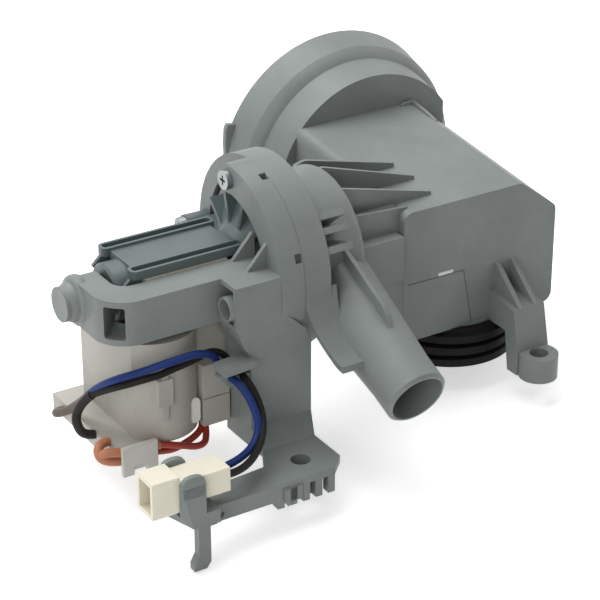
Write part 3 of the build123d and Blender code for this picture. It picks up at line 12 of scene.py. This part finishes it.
import bmesh
import bpy
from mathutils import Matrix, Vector


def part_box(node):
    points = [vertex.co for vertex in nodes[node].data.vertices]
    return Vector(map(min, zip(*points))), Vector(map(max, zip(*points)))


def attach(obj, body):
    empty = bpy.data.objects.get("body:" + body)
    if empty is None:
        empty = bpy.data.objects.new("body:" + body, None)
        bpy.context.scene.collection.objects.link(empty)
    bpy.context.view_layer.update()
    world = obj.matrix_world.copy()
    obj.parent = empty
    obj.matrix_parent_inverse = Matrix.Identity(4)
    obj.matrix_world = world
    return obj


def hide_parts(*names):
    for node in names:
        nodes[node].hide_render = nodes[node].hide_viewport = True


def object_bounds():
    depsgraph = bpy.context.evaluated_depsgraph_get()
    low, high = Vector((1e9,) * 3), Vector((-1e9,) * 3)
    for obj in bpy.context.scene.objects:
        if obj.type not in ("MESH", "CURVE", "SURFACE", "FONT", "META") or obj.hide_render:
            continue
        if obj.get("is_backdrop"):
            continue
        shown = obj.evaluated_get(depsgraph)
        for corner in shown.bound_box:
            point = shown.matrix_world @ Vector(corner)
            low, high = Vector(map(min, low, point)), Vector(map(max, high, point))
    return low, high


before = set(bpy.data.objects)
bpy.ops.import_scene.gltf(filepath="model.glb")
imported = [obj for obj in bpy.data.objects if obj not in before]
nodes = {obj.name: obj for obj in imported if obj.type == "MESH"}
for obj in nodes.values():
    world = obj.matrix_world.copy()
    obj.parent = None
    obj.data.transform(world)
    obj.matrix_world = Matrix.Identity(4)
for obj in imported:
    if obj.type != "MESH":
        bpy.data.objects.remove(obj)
start_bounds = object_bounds()

MM = 0.001

# %% [markdown]
# ## Colours and node helpers
#
# Colours are written as sRGB hex and turned to linear values in one place. `add_node`
# makes one shader node and sets its inputs, so that each material reads as a list of
# what it is made of.


# %% Helpers for materials
def linear(hex_colour):
    """sRGB hex to a linear RGBA tuple."""
    channels = [int(hex_colour[i : i + 2], 16) / 255 for i in (1, 3, 5)]
    lin = [c / 12.92 if c <= 0.04045 else ((c + 0.055) / 1.055) ** 2.4 for c in channels]
    return (*lin, 1.0)


def add_node(tree, kind, **inputs):
    """Adds a shader node. Inputs go by name with _ for spaces, or as i0, i1; a socket links."""
    node = tree.nodes.new(kind)
    for key, value in inputs.items():
        if hasattr(node, key) and not isinstance(value, bpy.types.NodeSocket):
            setattr(node, key, value)
            continue
        by_number = key[0] == "i" and key[1:].isdigit()
        socket = node.inputs[int(key[1:]) if by_number else key.replace("_", " ")]
        if isinstance(value, bpy.types.NodeSocket):
            tree.links.new(value, socket)
        else:
            socket.default_value = value
    return node


def mixed(tree, factor, a, b):
    """A colour mix of a and b; each may be a linear tuple or a socket."""
    mix = tree.nodes.new("ShaderNodeMix")
    mix.data_type = "RGBA"
    for socket, value in ((mix.inputs[0], factor), (mix.inputs[6], a), (mix.inputs[7], b)):
        if isinstance(value, bpy.types.NodeSocket):
            tree.links.new(value, socket)
        else:
            socket.default_value = value
    return mix.outputs[2]


def ranged(tree, value, low, high, out_low=0.0, out_high=1.0):
    """Maps a value from one range to another, clamped."""
    node = add_node(tree, "ShaderNodeMapRange", Value=value, From_Min=low, From_Max=high,
                    To_Min=out_low, To_Max=out_high)
    return node.outputs["Result"]


# %% [markdown]
# ## Materials
#
# Every moulding is a plain satin plastic with three things on it: a slow drift of tone,
# a fine spark-eroded grain, and softly rounded edges that catch the light. The other
# materials start from the same recipe and change its numbers.


# %% The recipe for a solid finish
def solid_material(name, base, shade, light, roughness, grain=0.02, edge=0.35, metallic=0.0,
                   specular=0.5):
    """Base tone drifting to shade, flecked with light, with a fine grain and soft edges.

    The drift runs over some 22 mm, as flow marks in a moulding do. The grain is drawn at
    about 0.4 mm, coarser than spark erosion leaves it, so that it shows at all. The edge
    is the real rounding in mm.
    """
    drift_per_metre = 45.0
    grain_per_metre = 2600.0
    grain_depth = 0.05 * MM
    material = bpy.data.materials.new(name)
    material.use_nodes = True
    tree = material.node_tree
    tree.nodes.clear()
    coords = add_node(tree, "ShaderNodeTexCoord").outputs["Object"]
    drift = add_node(tree, "ShaderNodeTexNoise", Vector=coords, Scale=drift_per_metre,
                     Detail=4.0, Roughness=0.6)
    fine = add_node(tree, "ShaderNodeTexNoise", Vector=coords, Scale=grain_per_metre,
                    Detail=2.0, Roughness=0.5)
    drift_share = ranged(tree, drift.outputs["Fac"], 0.35, 0.65)
    tone = mixed(tree, drift_share, linear(base), linear(shade))
    fleck_share = ranged(tree, fine.outputs["Fac"], 0.55, 0.8, 0.0, 0.5)
    tone = mixed(tree, fleck_share, tone, linear(light))
    rough = ranged(tree, drift.outputs["Fac"], 0.3, 0.7, roughness - 0.04, roughness + 0.05)
    rounded = add_node(tree, "ShaderNodeBevel", samples=4, Radius=edge * MM)
    bump = add_node(tree, "ShaderNodeBump", Strength=grain * 10, Distance=grain_depth,
                    Height=fine.outputs["Fac"], Normal=rounded.outputs["Normal"])
    shader = add_node(tree, "ShaderNodeBsdfPrincipled", Base_Color=tone, Roughness=rough,
                      Metallic=metallic, Specular_IOR_Level=specular,
                      Normal=bump.outputs["Normal"])
    add_node(tree, "ShaderNodeOutputMaterial", Surface=shader.outputs["BSDF"])
    return material


# %% Mouldings
# Filled polypropylene from a spark-eroded mould: matt, with a faint sheen on its edges.
grey = solid_material(
    "grey polypropylene moulding", "#878d8b", "#7f8583", "#949a99", 0.45, specular=0.28)
# Glass-filled plastic that has to stand the rotor's heat: darker, a little glossier.
dark = solid_material("dark glass-filled moulding", "#5f6a6a", "#576262", "#6f7a79", 0.38)
# Polyester moulding round the windings: chalky and pale.
pale = solid_material(
    "pale coil case moulding", "#bebbb3", "#b6b3ab", "#c8c5be", 0.5, specular=0.3)
light_pale = solid_material("pale clip moulding", "#cfccc5", "#c7c4bd", "#d9d6d0", 0.5)
# Undyed nylon: warm white with a soft gloss.
cream = solid_material("cream nylon connector", "#f4efdd", "#ece6d1", "#faf6e8", 0.42)
ivory = solid_material("white peg moulding", "#f7f6f1", "#efeee8", "#fcfbf8", 0.45)
# The shadow in a parting line, and painted light in the slit: a near-white strip for the light
# that shows through it.
line_grey = solid_material(
    "parting line of the moulding", "#5d6362", "#565c5b", "#6d7372", 0.5)
slit_painted_light = solid_material("painted light in the slit", "#f4f3ef", "#ebeae6", "#fbfaf7", 0.5)

# %% Rubber, sheaths and sleeves
# Moulded nitrile rubber: near black, with hardly any reflection.
rubber = solid_material(
    "black rubber", "#171514", "#1d1b1a", "#292625", 0.55, grain=0.05, specular=0.12)
# Extruded lead sheaths: smooth along their length, with one soft streak of light.
blue = solid_material(
    "blue lead sheath", "#17306f", "#142a63", "#22407f", 0.42, edge=0.1, specular=0.2)
black = solid_material(
    "black lead sheath", "#1b1918", "#211f1d", "#2b2826", 0.45, edge=0.1, specular=0.12)
red = solid_material("red lead sheath", "#a5301f", "#93291a", "#bb4431", 0.4, edge=0.1)
# Shrink sleeves: duller than the sheaths, since heat has drawn them tight.
char = solid_material(
    "black shrink sleeve", "#2c2927", "#33302d", "#3f3a37", 0.5, edge=0.1, specular=0.15)
taupe = solid_material(
    "grey-brown sleeve", "#6b625c", "#625952", "#7b716a", 0.55, edge=0.1, specular=0.2)
terracotta = solid_material(
    "terracotta silicone sleeve", "#c08060", "#b37354", "#cf9474", 0.5, edge=0.1)

# %% Metals
# Stamped and plated metals: crisp edges and a broken reflection of the studio.
brass = solid_material(
    "stamped brass", "#b8944a", "#a8843c", "#cdaa62", 0.3, metallic=1.0, edge=0.1)
steel = solid_material(
    "ground steel", "#b4b7b9", "#a6a9ac", "#c6c9cb", 0.28, metallic=1.0, edge=0.1)
zinc = solid_material(
    "zinc plated steel", "#989d9e", "#7f8586", "#b9bdbd", 0.36, metallic=1.0, edge=0.2)
copper = solid_material(
    "enamelled copper wire", "#8a4a26", "#7b3f1e", "#a86237", 0.35, metallic=0.8)
# Sheet edges and pressed ferrite: grey with little gloss of their own.
sheets = solid_material(
    "stamped steel sheets", "#b3aaa2", "#a1978f", "#c8c0b9", 0.45, metallic=0.3)
ferrite = solid_material("ground ferrite", "#3a3a3c", "#313133", "#4a4a4c", 0.5)
print("materials", len(bpy.data.materials))

# %% [markdown]
# ## Which finish goes where
#
# Every node of the frame gets its finish from one table, so a node that is left out
# stops the script here and not in the picture.

# %% Finishes by node
finishes = {
    "motor_bracket": grey,
    "volute_housing": grey,
    "filter_box": grey,
    "filter_collar": grey,
    "rotor_canister": dark,
    "stator_core": sheets,
    "near_coil": copper,
    "far_coil": copper,
    "coil_case": pale,
    "fuse_clip": light_pale,
    "inlet_seal": rubber,
    "tail_damper": rubber,
    "rear_bearing": rubber,
    "front_bearing": rubber,
    "cover_seal": rubber,
    "shaft_seal": rubber,
    "filter_seal": rubber,
    "rotor_shaft": steel,
    "rotor_magnet": ferrite,
    "drive_dog": dark,
    "impeller": grey,
    "filter_cap": grey,
    "filter_basket": grey,
    "flange_screws": zinc,
    "connector_housing": cream,
    "connector_terminals": brass,
    "blue_lead": blue,
    "black_lead": black,
    "winding_peg": ivory,
    "black_sleeve": char,
    "blue_sleeve": taupe,
    "upper_fuse_sleeve": terracotta,
    "lower_fuse_sleeve": terracotta,
    "front_red_lead": red,
    "back_red_lead": red,
}
for name, node in nodes.items():
    node.data.materials.clear()
    node.data.materials.append(finishes[name])
print("finished", len(finishes), "nodes")

# %% [markdown]
# ## Four mouldings brought nearer to the real ones
#
# The collar of the real filter housing flares in two long bands with one slope between
# them, the terminal block on the coil case stops lower, the scroll's tongue grows out
# of the whole width of the disc, and the bracket's lead guide reaches further out. The
# bracket's spike is also narrower, its prongs lower and its tail boss less tapered. Each
# is a small move of points that the solid already has. So the solid is copied, its loose
# triangles are joined, some rings of points go to their real place, and the copy
# stands for the solid.


# %% A copy of a solid with some points moved
def reshaped(node, rule):
    """A joined copy of a node; rule takes x, y, z in mm and gives the new place or None."""
    mesh = nodes[node].data.copy()
    if "custom_normal" in mesh.attributes:
        mesh.attributes.remove(mesh.attributes["custom_normal"])
    work = bmesh.new()
    work.from_mesh(mesh)
    bmesh.ops.remove_doubles(work, verts=work.verts, dist=0.002 * MM)
    moved = 0
    for vert in work.verts:
        place = rule(*(vert.co / MM))
        if place:
            vert.co = Vector(place) * MM
            moved += 1
    work.to_mesh(mesh)
    work.free()
    mesh.shade_smooth()
    mesh.set_sharp_from_angle(angle=radians(28))
    mesh.name = f"shaped_{node}"
    piece = bpy.data.objects.new(mesh.name, mesh)
    bpy.context.scene.collection.objects.link(piece)
    mesh.materials.clear()
    mesh.materials.append(finishes[node])
    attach(piece, "body")
    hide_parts(node)
    print(node, "points moved", moved, "of", len(mesh.vertices))


# %% Collar
filter_x, filter_z = 110.75, 50.5
collar_inner_reach = 44.9
collar_front = (134.9, 135.1)
collar_back_y = 142.5
band_end_y, band_end_reach = 135.5, 47.4
rim_step_reach = 51.3
rim_start_y, rim_start_reach = 140.0, 51.4
rim_outer_reach, rim_flare = 53.0, 0.03


def collar_rule(x, y, z):
    """Front band flaring to one slope, then the flared rim."""
    reach = hypot(x - filter_x, z - filter_z)
    if reach < collar_inner_reach or y < collar_front[0] or y > collar_back_y:
        return None
    if y < collar_front[1]:
        new_y, new_reach = band_end_y, band_end_reach
    elif reach > rim_step_reach:
        new_y, new_reach = rim_start_y, rim_start_reach + rim_flare * (reach > rim_outer_reach)
    else:
        return None
    share = new_reach / reach
    return (filter_x + (x - filter_x) * share, new_y, filter_z + (z - filter_z) * share)


reshaped("filter_collar", collar_rule)

# %% Coil case
block_top_x = (-20.4, -8.7)
block_top_y = (34.9, 39.5)
block_top_z = (45.4, 45.6)
block_drop = 7.6


def case_rule(x, y, z):
    """Terminal block lowered to where its leads enter."""
    across = block_top_x[0] < x < block_top_x[1] and block_top_y[0] < y < block_top_y[1]
    if across and block_top_z[0] < z < block_top_z[1]:
        return (x, y, z - block_drop)
    return None


reshaped("coil_case", case_rule)

# %% Volute
tongue_x = 19.0
tongue_widening = 3.75
tongue_front_y = 25.0
tongue_z = (38.0, 66.0)
widening_start_z, widening_rise = 41.0, 20.0


def tongue_rule(x, y, z):
    """Tongue widened to the disc's front edge at its top."""
    if abs(x - tongue_x) < 0.05 and y < tongue_front_y and tongue_z[0] < z < tongue_z[1]:
        share = min(max((z - widening_start_z) / widening_rise, 0.0), 1.0)
        return (tongue_x - tongue_widening * share, y, z)
    return None


reshaped("volute_housing", tongue_rule)

# %% Bracket
axis_y, axis_z = 59.6, 64.5
tail_face_x = -58.7
boss_reach = (5.9, 8.4)
boss_middle_reach = 7.3
boss_root_reach, boss_front_reach = 7.6, 6.6
holder_right_x = -49.0
spike_end = (-48.0, -9.0, 9.0)
spike_right_x, spike_narrowing, spike_lift = -47.6, 0.72, 0.6
prong_right_x = -48.8
prong_top_z = (29.0, 30.0)
prong_cut_z = 25.0
guide_end_x = (-19.0, -18.6)
guide_y = (17.0, 26.0)
guide_z = (41.9, 45.1)
guide_growth, guide_lean = 2.6, 1.2


def bracket_rule(x, y, z):
    """Narrower spike, lower prongs, less tapered tail boss, guide plate further out."""
    if x < spike_end[0] and y < spike_end[1] and z < spike_end[2]:
        return (spike_right_x + (x - holder_right_x) * spike_narrowing, y, z + spike_lift)
    if x < prong_right_x and y < 0 and prong_top_z[0] < z < prong_top_z[1]:
        return (x, y, prong_cut_z)
    reach = hypot(y - axis_y, z - axis_z)
    if x < tail_face_x and boss_reach[0] < reach < boss_reach[1]:
        share = (boss_root_reach if reach > boss_middle_reach else boss_front_reach) / reach
        return (x, axis_y + (y - axis_y) * share, axis_z + (z - axis_z) * share)
    at_guide = guide_end_x[0] < x < guide_end_x[1] and guide_y[0] < y < guide_y[1]
    if at_guide and guide_z[0] < z < guide_z[1]:
        return (x - guide_growth, y - guide_lean, z)
    return None


reshaped("motor_bracket", bracket_rule)

# %% [markdown]
# ## Leads
#
# Two stranded leads in thin plastic sheaths run from the coil case, round under the
# guide and into the connector, and two red ones run from the fuse's sleeves to the
# terminal block. A stiff thin wire keeps one smooth line, so each is a spline through
# the air with its points as control points, and a round bevel gives it its thickness.
# The black one dips under the blue one where they cross.


# %% Smooth leads and sleeves
def lead(name, material, radius, points, *stands_for):
    """A round lead along a smooth spline whose control points are in mm."""
    curve = bpy.data.curves.new(name, "CURVE")
    curve.dimensions = "3D"
    curve.bevel_depth = radius * MM
    curve.bevel_resolution = 6
    curve.resolution_u = 10
    curve.use_fill_caps = True
    spline = curve.splines.new("NURBS")
    spline.points.add(len(points) - 1)
    for point, place in zip(spline.points, points):
        point.co = (*(Vector(place) * MM), 1.0)
    spline.order_u = 3
    spline.use_endpoint_u = True
    curve.materials.append(material)
    piece = bpy.data.objects.new(name, curve)
    bpy.context.scene.collection.objects.link(piece)
    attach(piece, "body")
    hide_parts(*stands_for)
    print(name, "length mm", round(spline.calc_length() / MM, 1))


# %% The two leads to the connector
blue_points = [
    (-58.2, 53.0, 28.8), (-57.6, 50.4, 31.6), (-56.1, 44.5, 36.6), (-53.6, 38.2, 41.0),
    (-50.1, 33.7, 43.7), (-46.1, 30.2, 45.9), (-41.6, 27.7, 47.9), (-36.6, 26.0, 49.2),
    (-31.4, 25.3, 49.9), (-26.4, 26.0, 49.2), (-22.2, 26.6, 47.4), (-19.4, 26.9, 45.0),
    (-17.8, 26.6, 41.0), (-17.0, 22.4, 39.0), (-15.6, 18.0, 38.4), (-14.1, 13.5, 34.8),
    (-13.4, 9.5, 30.1), (-13.5, 6.8, 25.8), (-15.6, 4.2, 22.4), (-20.2, 1.0, 20.4),
    (-26.5, -2.6, 20.4), (-34.1, -6.4, 21.7), (-38.0, -7.1, 21.9),
]
black_points = [
    (-59.2, 51.0, 29.4), (-58.0, 49.6, 30.6), (-56.0, 44.6, 34.0), (-53.5, 38.4, 37.7),
    (-50.0, 33.9, 40.3), (-46.0, 30.6, 42.4), (-41.3, 28.5, 43.6), (-35.9, 27.6, 45.2),
    (-30.3, 27.6, 45.9), (-25.2, 28.4, 46.4), (-21.2, 29.0, 46.9), (-17.0, 29.2, 45.9),
    (-13.8, 28.6, 43.0), (-12.8, 26.0, 39.6), (-11.2, 20.0, 37.9), (-9.8, 15.6, 33.4),
    (-9.9, 10.8, 28.8), (-11.6, 6.2, 24.6), (-16.0, 1.0, 21.4), (-22.4, -4.6, 20.2),
    (-28.9, -8.8, 20.4), (-34.9, -11.4, 21.4), (-38.0, -11.7, 21.9),
]
lead("blue_wire", blue, 1.45, blue_points, "blue_lead")
lead("black_wire", black, 1.4, black_points, "black_lead")

# %% Shrink sleeves at the terminal bar
sleeve_points = [
    (-57.0, 51.6, 12.6), (-60.0, 51.6, 13.2), (-62.6, 51.8, 15.4), (-63.0, 54.2, 18.6),
    (-62.1, 55.0, 21.6), (-60.8, 53.8, 25.1), (-59.0, 51.4, 28.9), (-58.2, 49.8, 30.4),
]
taupe_points = [
    (-57.0, 77.0, 10.4), (-60.0, 77.4, 10.4), (-61.2, 74.6, 11.4), (-59.2, 69.8, 14.2),
    (-58.0, 65.0, 18.2), (-57.6, 60.0, 22.4), (-57.8, 55.4, 26.4), (-58.0, 52.4, 29.2),
]
lead("black_shrink", char, 1.75, sleeve_points, "black_sleeve")
lead("taupe_shrink", taupe, 1.7, taupe_points, "blue_sleeve")

# %% Fuse sleeves, doubled back behind the clip
outer_sleeve_points = [
    (-57.0, 40.4, 15.2), (-60.4, 39.6, 15.9), (-63.0, 37.6, 14.6), (-62.9, 35.8, 12.2),
    (-60.6, 34.2, 10.9), (-55.5, 33.4, 9.8), (-48.0, 33.4, 9.4), (-41.2, 33.8, 9.0),
]
inner_sleeve_points = [
    (-57.6, 36.6, 12.2), (-61.0, 35.6, 12.8), (-62.6, 34.4, 14.6), (-59.6, 33.2, 14.8),
    (-55.3, 32.6, 13.9), (-48.0, 32.4, 13.0), (-40.4, 32.4, 12.6),
]
lead("fuse_sleeve_outer", terracotta, 1.75, outer_sleeve_points, "lower_fuse_sleeve")
lead("fuse_sleeve_inner", terracotta, 1.75, inner_sleeve_points, "upper_fuse_sleeve")

# %% Red leads to the terminal block
red_front_points = [
    (-41.6, 32.5, 13.1), (-39.2, 32.0, 12.5), (-32.0, 31.0, 10.3), (-26.4, 30.2, 8.3),
    (-22.2, 30.8, 8.3), (-19.6, 34.4, 9.6), (-18.4, 37.2, 11.9), (-18.2, 37.6, 14.4),
]
red_back_points = [
    (-42.0, 34.0, 9.2), (-38.2, 34.0, 8.4), (-33.7, 33.6, 7.9), (-28.6, 34.0, 8.9),
    (-24.1, 34.8, 9.9), (-20.6, 36.6, 11.0), (-18.9, 38.6, 12.2), (-18.6, 39.0, 14.6),
]
lead("red_wire_front", red, 1.3, red_front_points, "front_red_lead")
lead("red_wire_back", red, 1.3, red_back_points, "back_red_lead")

# %% [markdown]
# ## Small moulded details
#
# Witness lines, lugs and ribs are a fraction of a millimetre to a few millimetres high.
# Each starts as one face from a few points, is pushed out to its thickness and gets a
# bevel as wide as its real rounding.


# %% Detail builder
def moulded(name, outline, push, rounding, material):
    """One face through the outline's points, extruded by push, bevelled; sizes in mm."""
    work = bmesh.new()
    face = work.faces.new([work.verts.new(Vector(point) * MM) for point in outline])
    grown = bmesh.ops.extrude_face_region(work, geom=[face])["geom"]
    moving = [item for item in grown if isinstance(item, bmesh.types.BMVert)]
    bmesh.ops.translate(work, vec=Vector(push) * MM, verts=moving)
    bmesh.ops.recalc_face_normals(work, faces=work.faces)
    corners = [edge for edge in work.edges if edge.calc_face_angle() > radians(20)]
    bmesh.ops.bevel(work, geom=corners, offset=rounding * MM, segments=3, profile=0.5,
                    affect="EDGES", material=-1)
    closed = all(edge.is_manifold for edge in work.edges)
    mesh = bpy.data.meshes.new(name)
    work.to_mesh(mesh)
    work.free()
    mesh.shade_smooth()
    mesh.set_sharp_from_angle(angle=radians(35))
    mesh.materials.append(material)
    piece = bpy.data.objects.new(name, mesh)
    bpy.context.scene.collection.objects.link(piece)
    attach(piece, "body")
    print(name, "closed", closed)


def flat_outline(axis, level, points):
    """Points given in the plane across one axis, as full places."""
    at = "xyz".index(axis)
    return [tuple(list(point[:at]) + [level] + list(point[at:])) for point in points]


# %% [markdown]
# ## Details of the housing
#
# The mould's inserts leave a step round the lower left of the box's front, and light shows
# through a slit above it, painted as a thin near-white strip. An L-shaped rib stiffens the
# roof where it meets the collar, and a lug on the collar's rim sets its turn in the appliance.

# %% Box, roof and rim
box_front = 43.6
line_seat = 0.3
rib_thick = 1.3
moulded("box_parting_line", flat_outline("y", box_front + line_seat, [
    (76.4, 41.5), (102.8, 41.2), (107.4, 17.4), (107.7, 17.4), (103.1, 41.7), (76.4, 41.9),
]), (0, -0.5, 0), 0.08, line_grey)
# Painted light: a thin near-white strip stands for the light showing through the slit.
moulded("box_slit", flat_outline("y", box_front + line_seat, [
    (90.7, 41.9), (97.7, 41.9), (97.7, 43.2), (90.7, 43.2),
]), (0, -0.55, 0), 0.1, slit_painted_light)
moulded("roof_rib_short", flat_outline("y", 120.9, [
    (124.6, 78.6), (131.0, 78.6), (131.0, 81.3), (125.6, 81.2), (124.6, 80.6),
]), (0, -rib_thick, 0), 0.25, grey)
moulded("roof_rib_long", flat_outline("x", 129.9, [
    (120.9, 78.0), (120.9, 81.3), (110.0, 79.7), (103.0, 78.1), (103.0, 76.6),
]), (rib_thick, 0, 0), 0.25, grey)
moulded("rim_lug", flat_outline("y", 153.0, [
    (62.4, 74.6), (58.6, 75.4), (57.7, 73.0), (57.2, 66.5), (57.6, 60.0), (61.0, 60.0),
]), (0, -2.6, 0), 0.4, grey)

# %% [markdown]
# ## Details of the bracket
#
# The bracket is one moulding with no sharp end on it: its tail is rounded, the prongs
# that hold the connector have full round heads, and the skirt under the foot ends in a
# heel at the left and in a closed web where its comb begins. A lower jaw keeps the
# leads under the guide.

# %% Tail, skirt, guide and prongs
round_steps = 64
round_turns = [2 * pi * step / round_steps for step in range(round_steps)]
round_points = [(cos(turn), sin(turn)) for turn in round_turns]
tail_reach = 9.6
skirt_front_y, skirt_thick = -11.2, 1.9
moulded("tail_end", flat_outline("x", -54.4, [
    (axis_y + tail_reach * across, axis_z + tail_reach * rise) for across, rise in round_points
]), (-5.6, 0, 0), 2.2, grey)
moulded("comb_web", flat_outline("y", skirt_front_y, [
    (-14.8, 8.8), (-5.4, 8.8), (-5.4, 1.3), (-9.3, 1.6), (-11.9, -0.2), (-15.0, 3.6),
]), (0, skirt_thick, 0), 0.2, grey)
moulded("guide_hook", flat_outline("y", 20.6, [
    (-21.6, 40.0), (-20.0, 41.2), (-14.2, 36.9), (-8.0, 36.9), (-8.0, 34.6), (-17.2, 34.6),
]), (0, 3.8, 0), 0.3, grey)
prong_outline = [
    (-58.5, 26.0), (-58.0, 27.4), (-56.6, 28.6), (-54.2, 29.0), (-51.4, 28.7),
    (-49.6, 27.7), (-48.9, 26.0), (-48.9, 20.0), (-58.5, 20.0),
]
for name, outer_y, push in (("front_prong_cap", -17.5, 2.4), ("back_prong_cap", -1.0, -2.6)):
    moulded(name, flat_outline("y", outer_y, prong_outline), (0, push, 0), 0.6, grey)
moulded("left_heel", flat_outline("y", skirt_front_y, [
    (-45.4, 7.0), (-45.2, 3.0), (-44.6, 2.5), (-41.4, 2.5), (-38.4, 5.0), (-38.0, 7.0),
]), (0, skirt_thick, 0), 0.3, grey)

# %% [markdown]
# ## Floor and surroundings
#
# The pump stands over a plain white floor. What the camera sees, directly or in a
# reflection, is near white, and the floor keeps the pump's soft shadow. The light that
# the surroundings send on to the pump is set apart from that, by the kind of ray, so
# that a white background doesn't wash the grey mouldings out.


# %% Rays that see the background
def seen_share(tree):
    """1 for what the camera, a reflection or a transmission sees, 0 for other light."""
    path = add_node(tree, "ShaderNodeLightPath")
    both = add_node(tree, "ShaderNodeMath", operation="MAXIMUM",
                    i0=path.outputs["Is Camera Ray"], i1=path.outputs["Is Glossy Ray"])
    every = add_node(tree, "ShaderNodeMath", operation="MAXIMUM", i0=both.outputs["Value"],
                     i1=path.outputs["Is Transmission Ray"])
    return every.outputs["Value"]


# %% Floor
floor_size = 6
floor_gap = 0.5 * MM
floor_bounce = "#f4f4f4"
floor_lift = 0.55
lowest = min(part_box(name)[0].z for name in nodes)
bpy.ops.mesh.primitive_plane_add(size=floor_size, location=(0, 0, lowest - floor_gap))
floor = bpy.context.object
floor.name = "floor"
floor_material = bpy.data.materials.new("floor")
floor_material.use_nodes = True
tree = floor_material.node_tree
coords = add_node(tree, "ShaderNodeTexCoord").outputs["Object"]
noise = add_node(tree, "ShaderNodeTexNoise", Vector=coords, Scale=3.0)
tone = mixed(tree, noise.outputs["Fac"], linear("#fdfdfd"), linear("#fbfbfb"))
seen = seen_share(tree)
shader = tree.nodes["Principled BSDF"]
tree.links.new(mixed(tree, seen, linear(floor_bounce), tone), shader.inputs["Base Color"])
shader.inputs["Roughness"].default_value = 0.9
shader.inputs["Specular IOR Level"].default_value = 0.1
glow = add_node(tree, "ShaderNodeEmission", Color=linear("#ffffff"), Strength=floor_lift)
lifted = add_node(tree, "ShaderNodeAddShader", i0=shader.outputs["BSDF"],
                  i1=glow.outputs["Emission"])
choice = add_node(tree, "ShaderNodeMixShader", i0=seen, i1=shader.outputs["BSDF"],
                  i2=lifted.outputs["Shader"])
tree.links.new(choice.outputs["Shader"], tree.nodes["Material Output"].inputs["Surface"])
floor.data.materials.append(floor_material)
floor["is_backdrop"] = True
print("floor at", round(floor.location.z, 5))

# %% Surroundings
ambient_strength, seen_strength = 0.2, 1.0
world = bpy.data.worlds.new("studio")
bpy.context.scene.world = world
world.use_nodes = True
tree = world.node_tree
strength = ranged(tree, seen_share(tree), 0.0, 1.0, ambient_strength, seen_strength)
tree.links.new(strength, tree.nodes["Background"].inputs["Strength"])
tree.nodes["Background"].inputs["Color"].default_value = (1.0, 1.0, 1.0, 1.0)
print("surroundings", ambient_strength, "to", seen_strength)

# %% [markdown]
# ## Lamps
#
# One broad softbox above and behind gives the pale tops and the dark fronts. Two weak
# ones at the sides keep the fronts and the inside of the spout from going black.


# %% Softboxes
def softbox(name, place, aim, size, power):
    """A square area light at a place, turned towards a point."""
    lamp = bpy.data.lights.new(name, "AREA")
    lamp.shape = "SQUARE"
    lamp.size = size
    lamp.energy = power
    lamp_object = bpy.data.objects.new(name, lamp)
    bpy.context.scene.collection.objects.link(lamp_object)
    lamp_object.location = place
    direction = Vector(aim) - Vector(place)
    lamp_object.rotation_euler = direction.to_track_quat("-Z", "Y").to_euler()


middle = (0.04, 0.05, 0.05)
softbox("overhead", (-0.1, 0.45, 1.05), middle, 1.1, 13.5)
softbox("left", (-0.9, -0.6, 0.45), middle, 0.8, 4.0)
softbox("right", (1.0, -0.1, 0.55), middle, 0.8, 1.0)
print("lamps", len(bpy.data.lights))

# %% [markdown]
# ## Camera
#
# The camera looks down on the pump from its connector's side. It is given by its turn,
# its height above the horizon and its distance, as one would set a tripod, and its long
# lens keeps the far collar nearly as large as the near motor. The point it is set by
# stands 50 pixels left of and above the middle of the picture.

# %% Camera
azimuth = radians(-32.0)
elevation = radians(27.0)
focal_pixels = 2190.0
picture_pixels = 600.0
sensor_width = 36.0
aim_offset = 50.0 / focal_pixels
distance = 800.0 * MM
looked_at = Vector((5.5, 43.6, 75.0)) * MM
toward = Vector((sin(azimuth) * cos(elevation), -cos(azimuth) * cos(elevation), sin(elevation)))
forward = -toward
right = Vector((cos(azimuth), sin(azimuth), 0.0))
up = right.cross(forward)
aim = forward - right * aim_offset + up * aim_offset
camera_data = bpy.data.cameras.new("camera")
camera_data.sensor_width = sensor_width
camera_data.lens = sensor_width * focal_pixels / picture_pixels
camera_data.clip_start = 0.01
camera = bpy.data.objects.new("camera", camera_data)
bpy.context.scene.collection.objects.link(camera)
camera.location = looked_at - aim * distance
camera.rotation_euler = forward.to_track_quat("-Z", "Y").to_euler()
bpy.context.scene.camera = camera
bpy.context.scene.view_settings.view_transform = "Standard"
print("camera at", [round(v, 4) for v in camera.location])

# %% [markdown]
# ## Sizes
#
# The box round everything is measured once more and kept beside the one from the start,
# so that a detail that grew past the solids would show in the numbers.

# %% Sizes
end_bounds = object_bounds()


def plain(value):
    """Vectors and tuples as plain lists."""
    if isinstance(value, dict):
        return {key: plain(item) for key, item in value.items()}
    if isinstance(value, (list, tuple, Vector)):
        return [plain(item) for item in value]
    return value


{"start": plain(start_bounds), "end": plain(end_bounds)}
print("bounds", plain(start_bounds), plain(end_bounds))
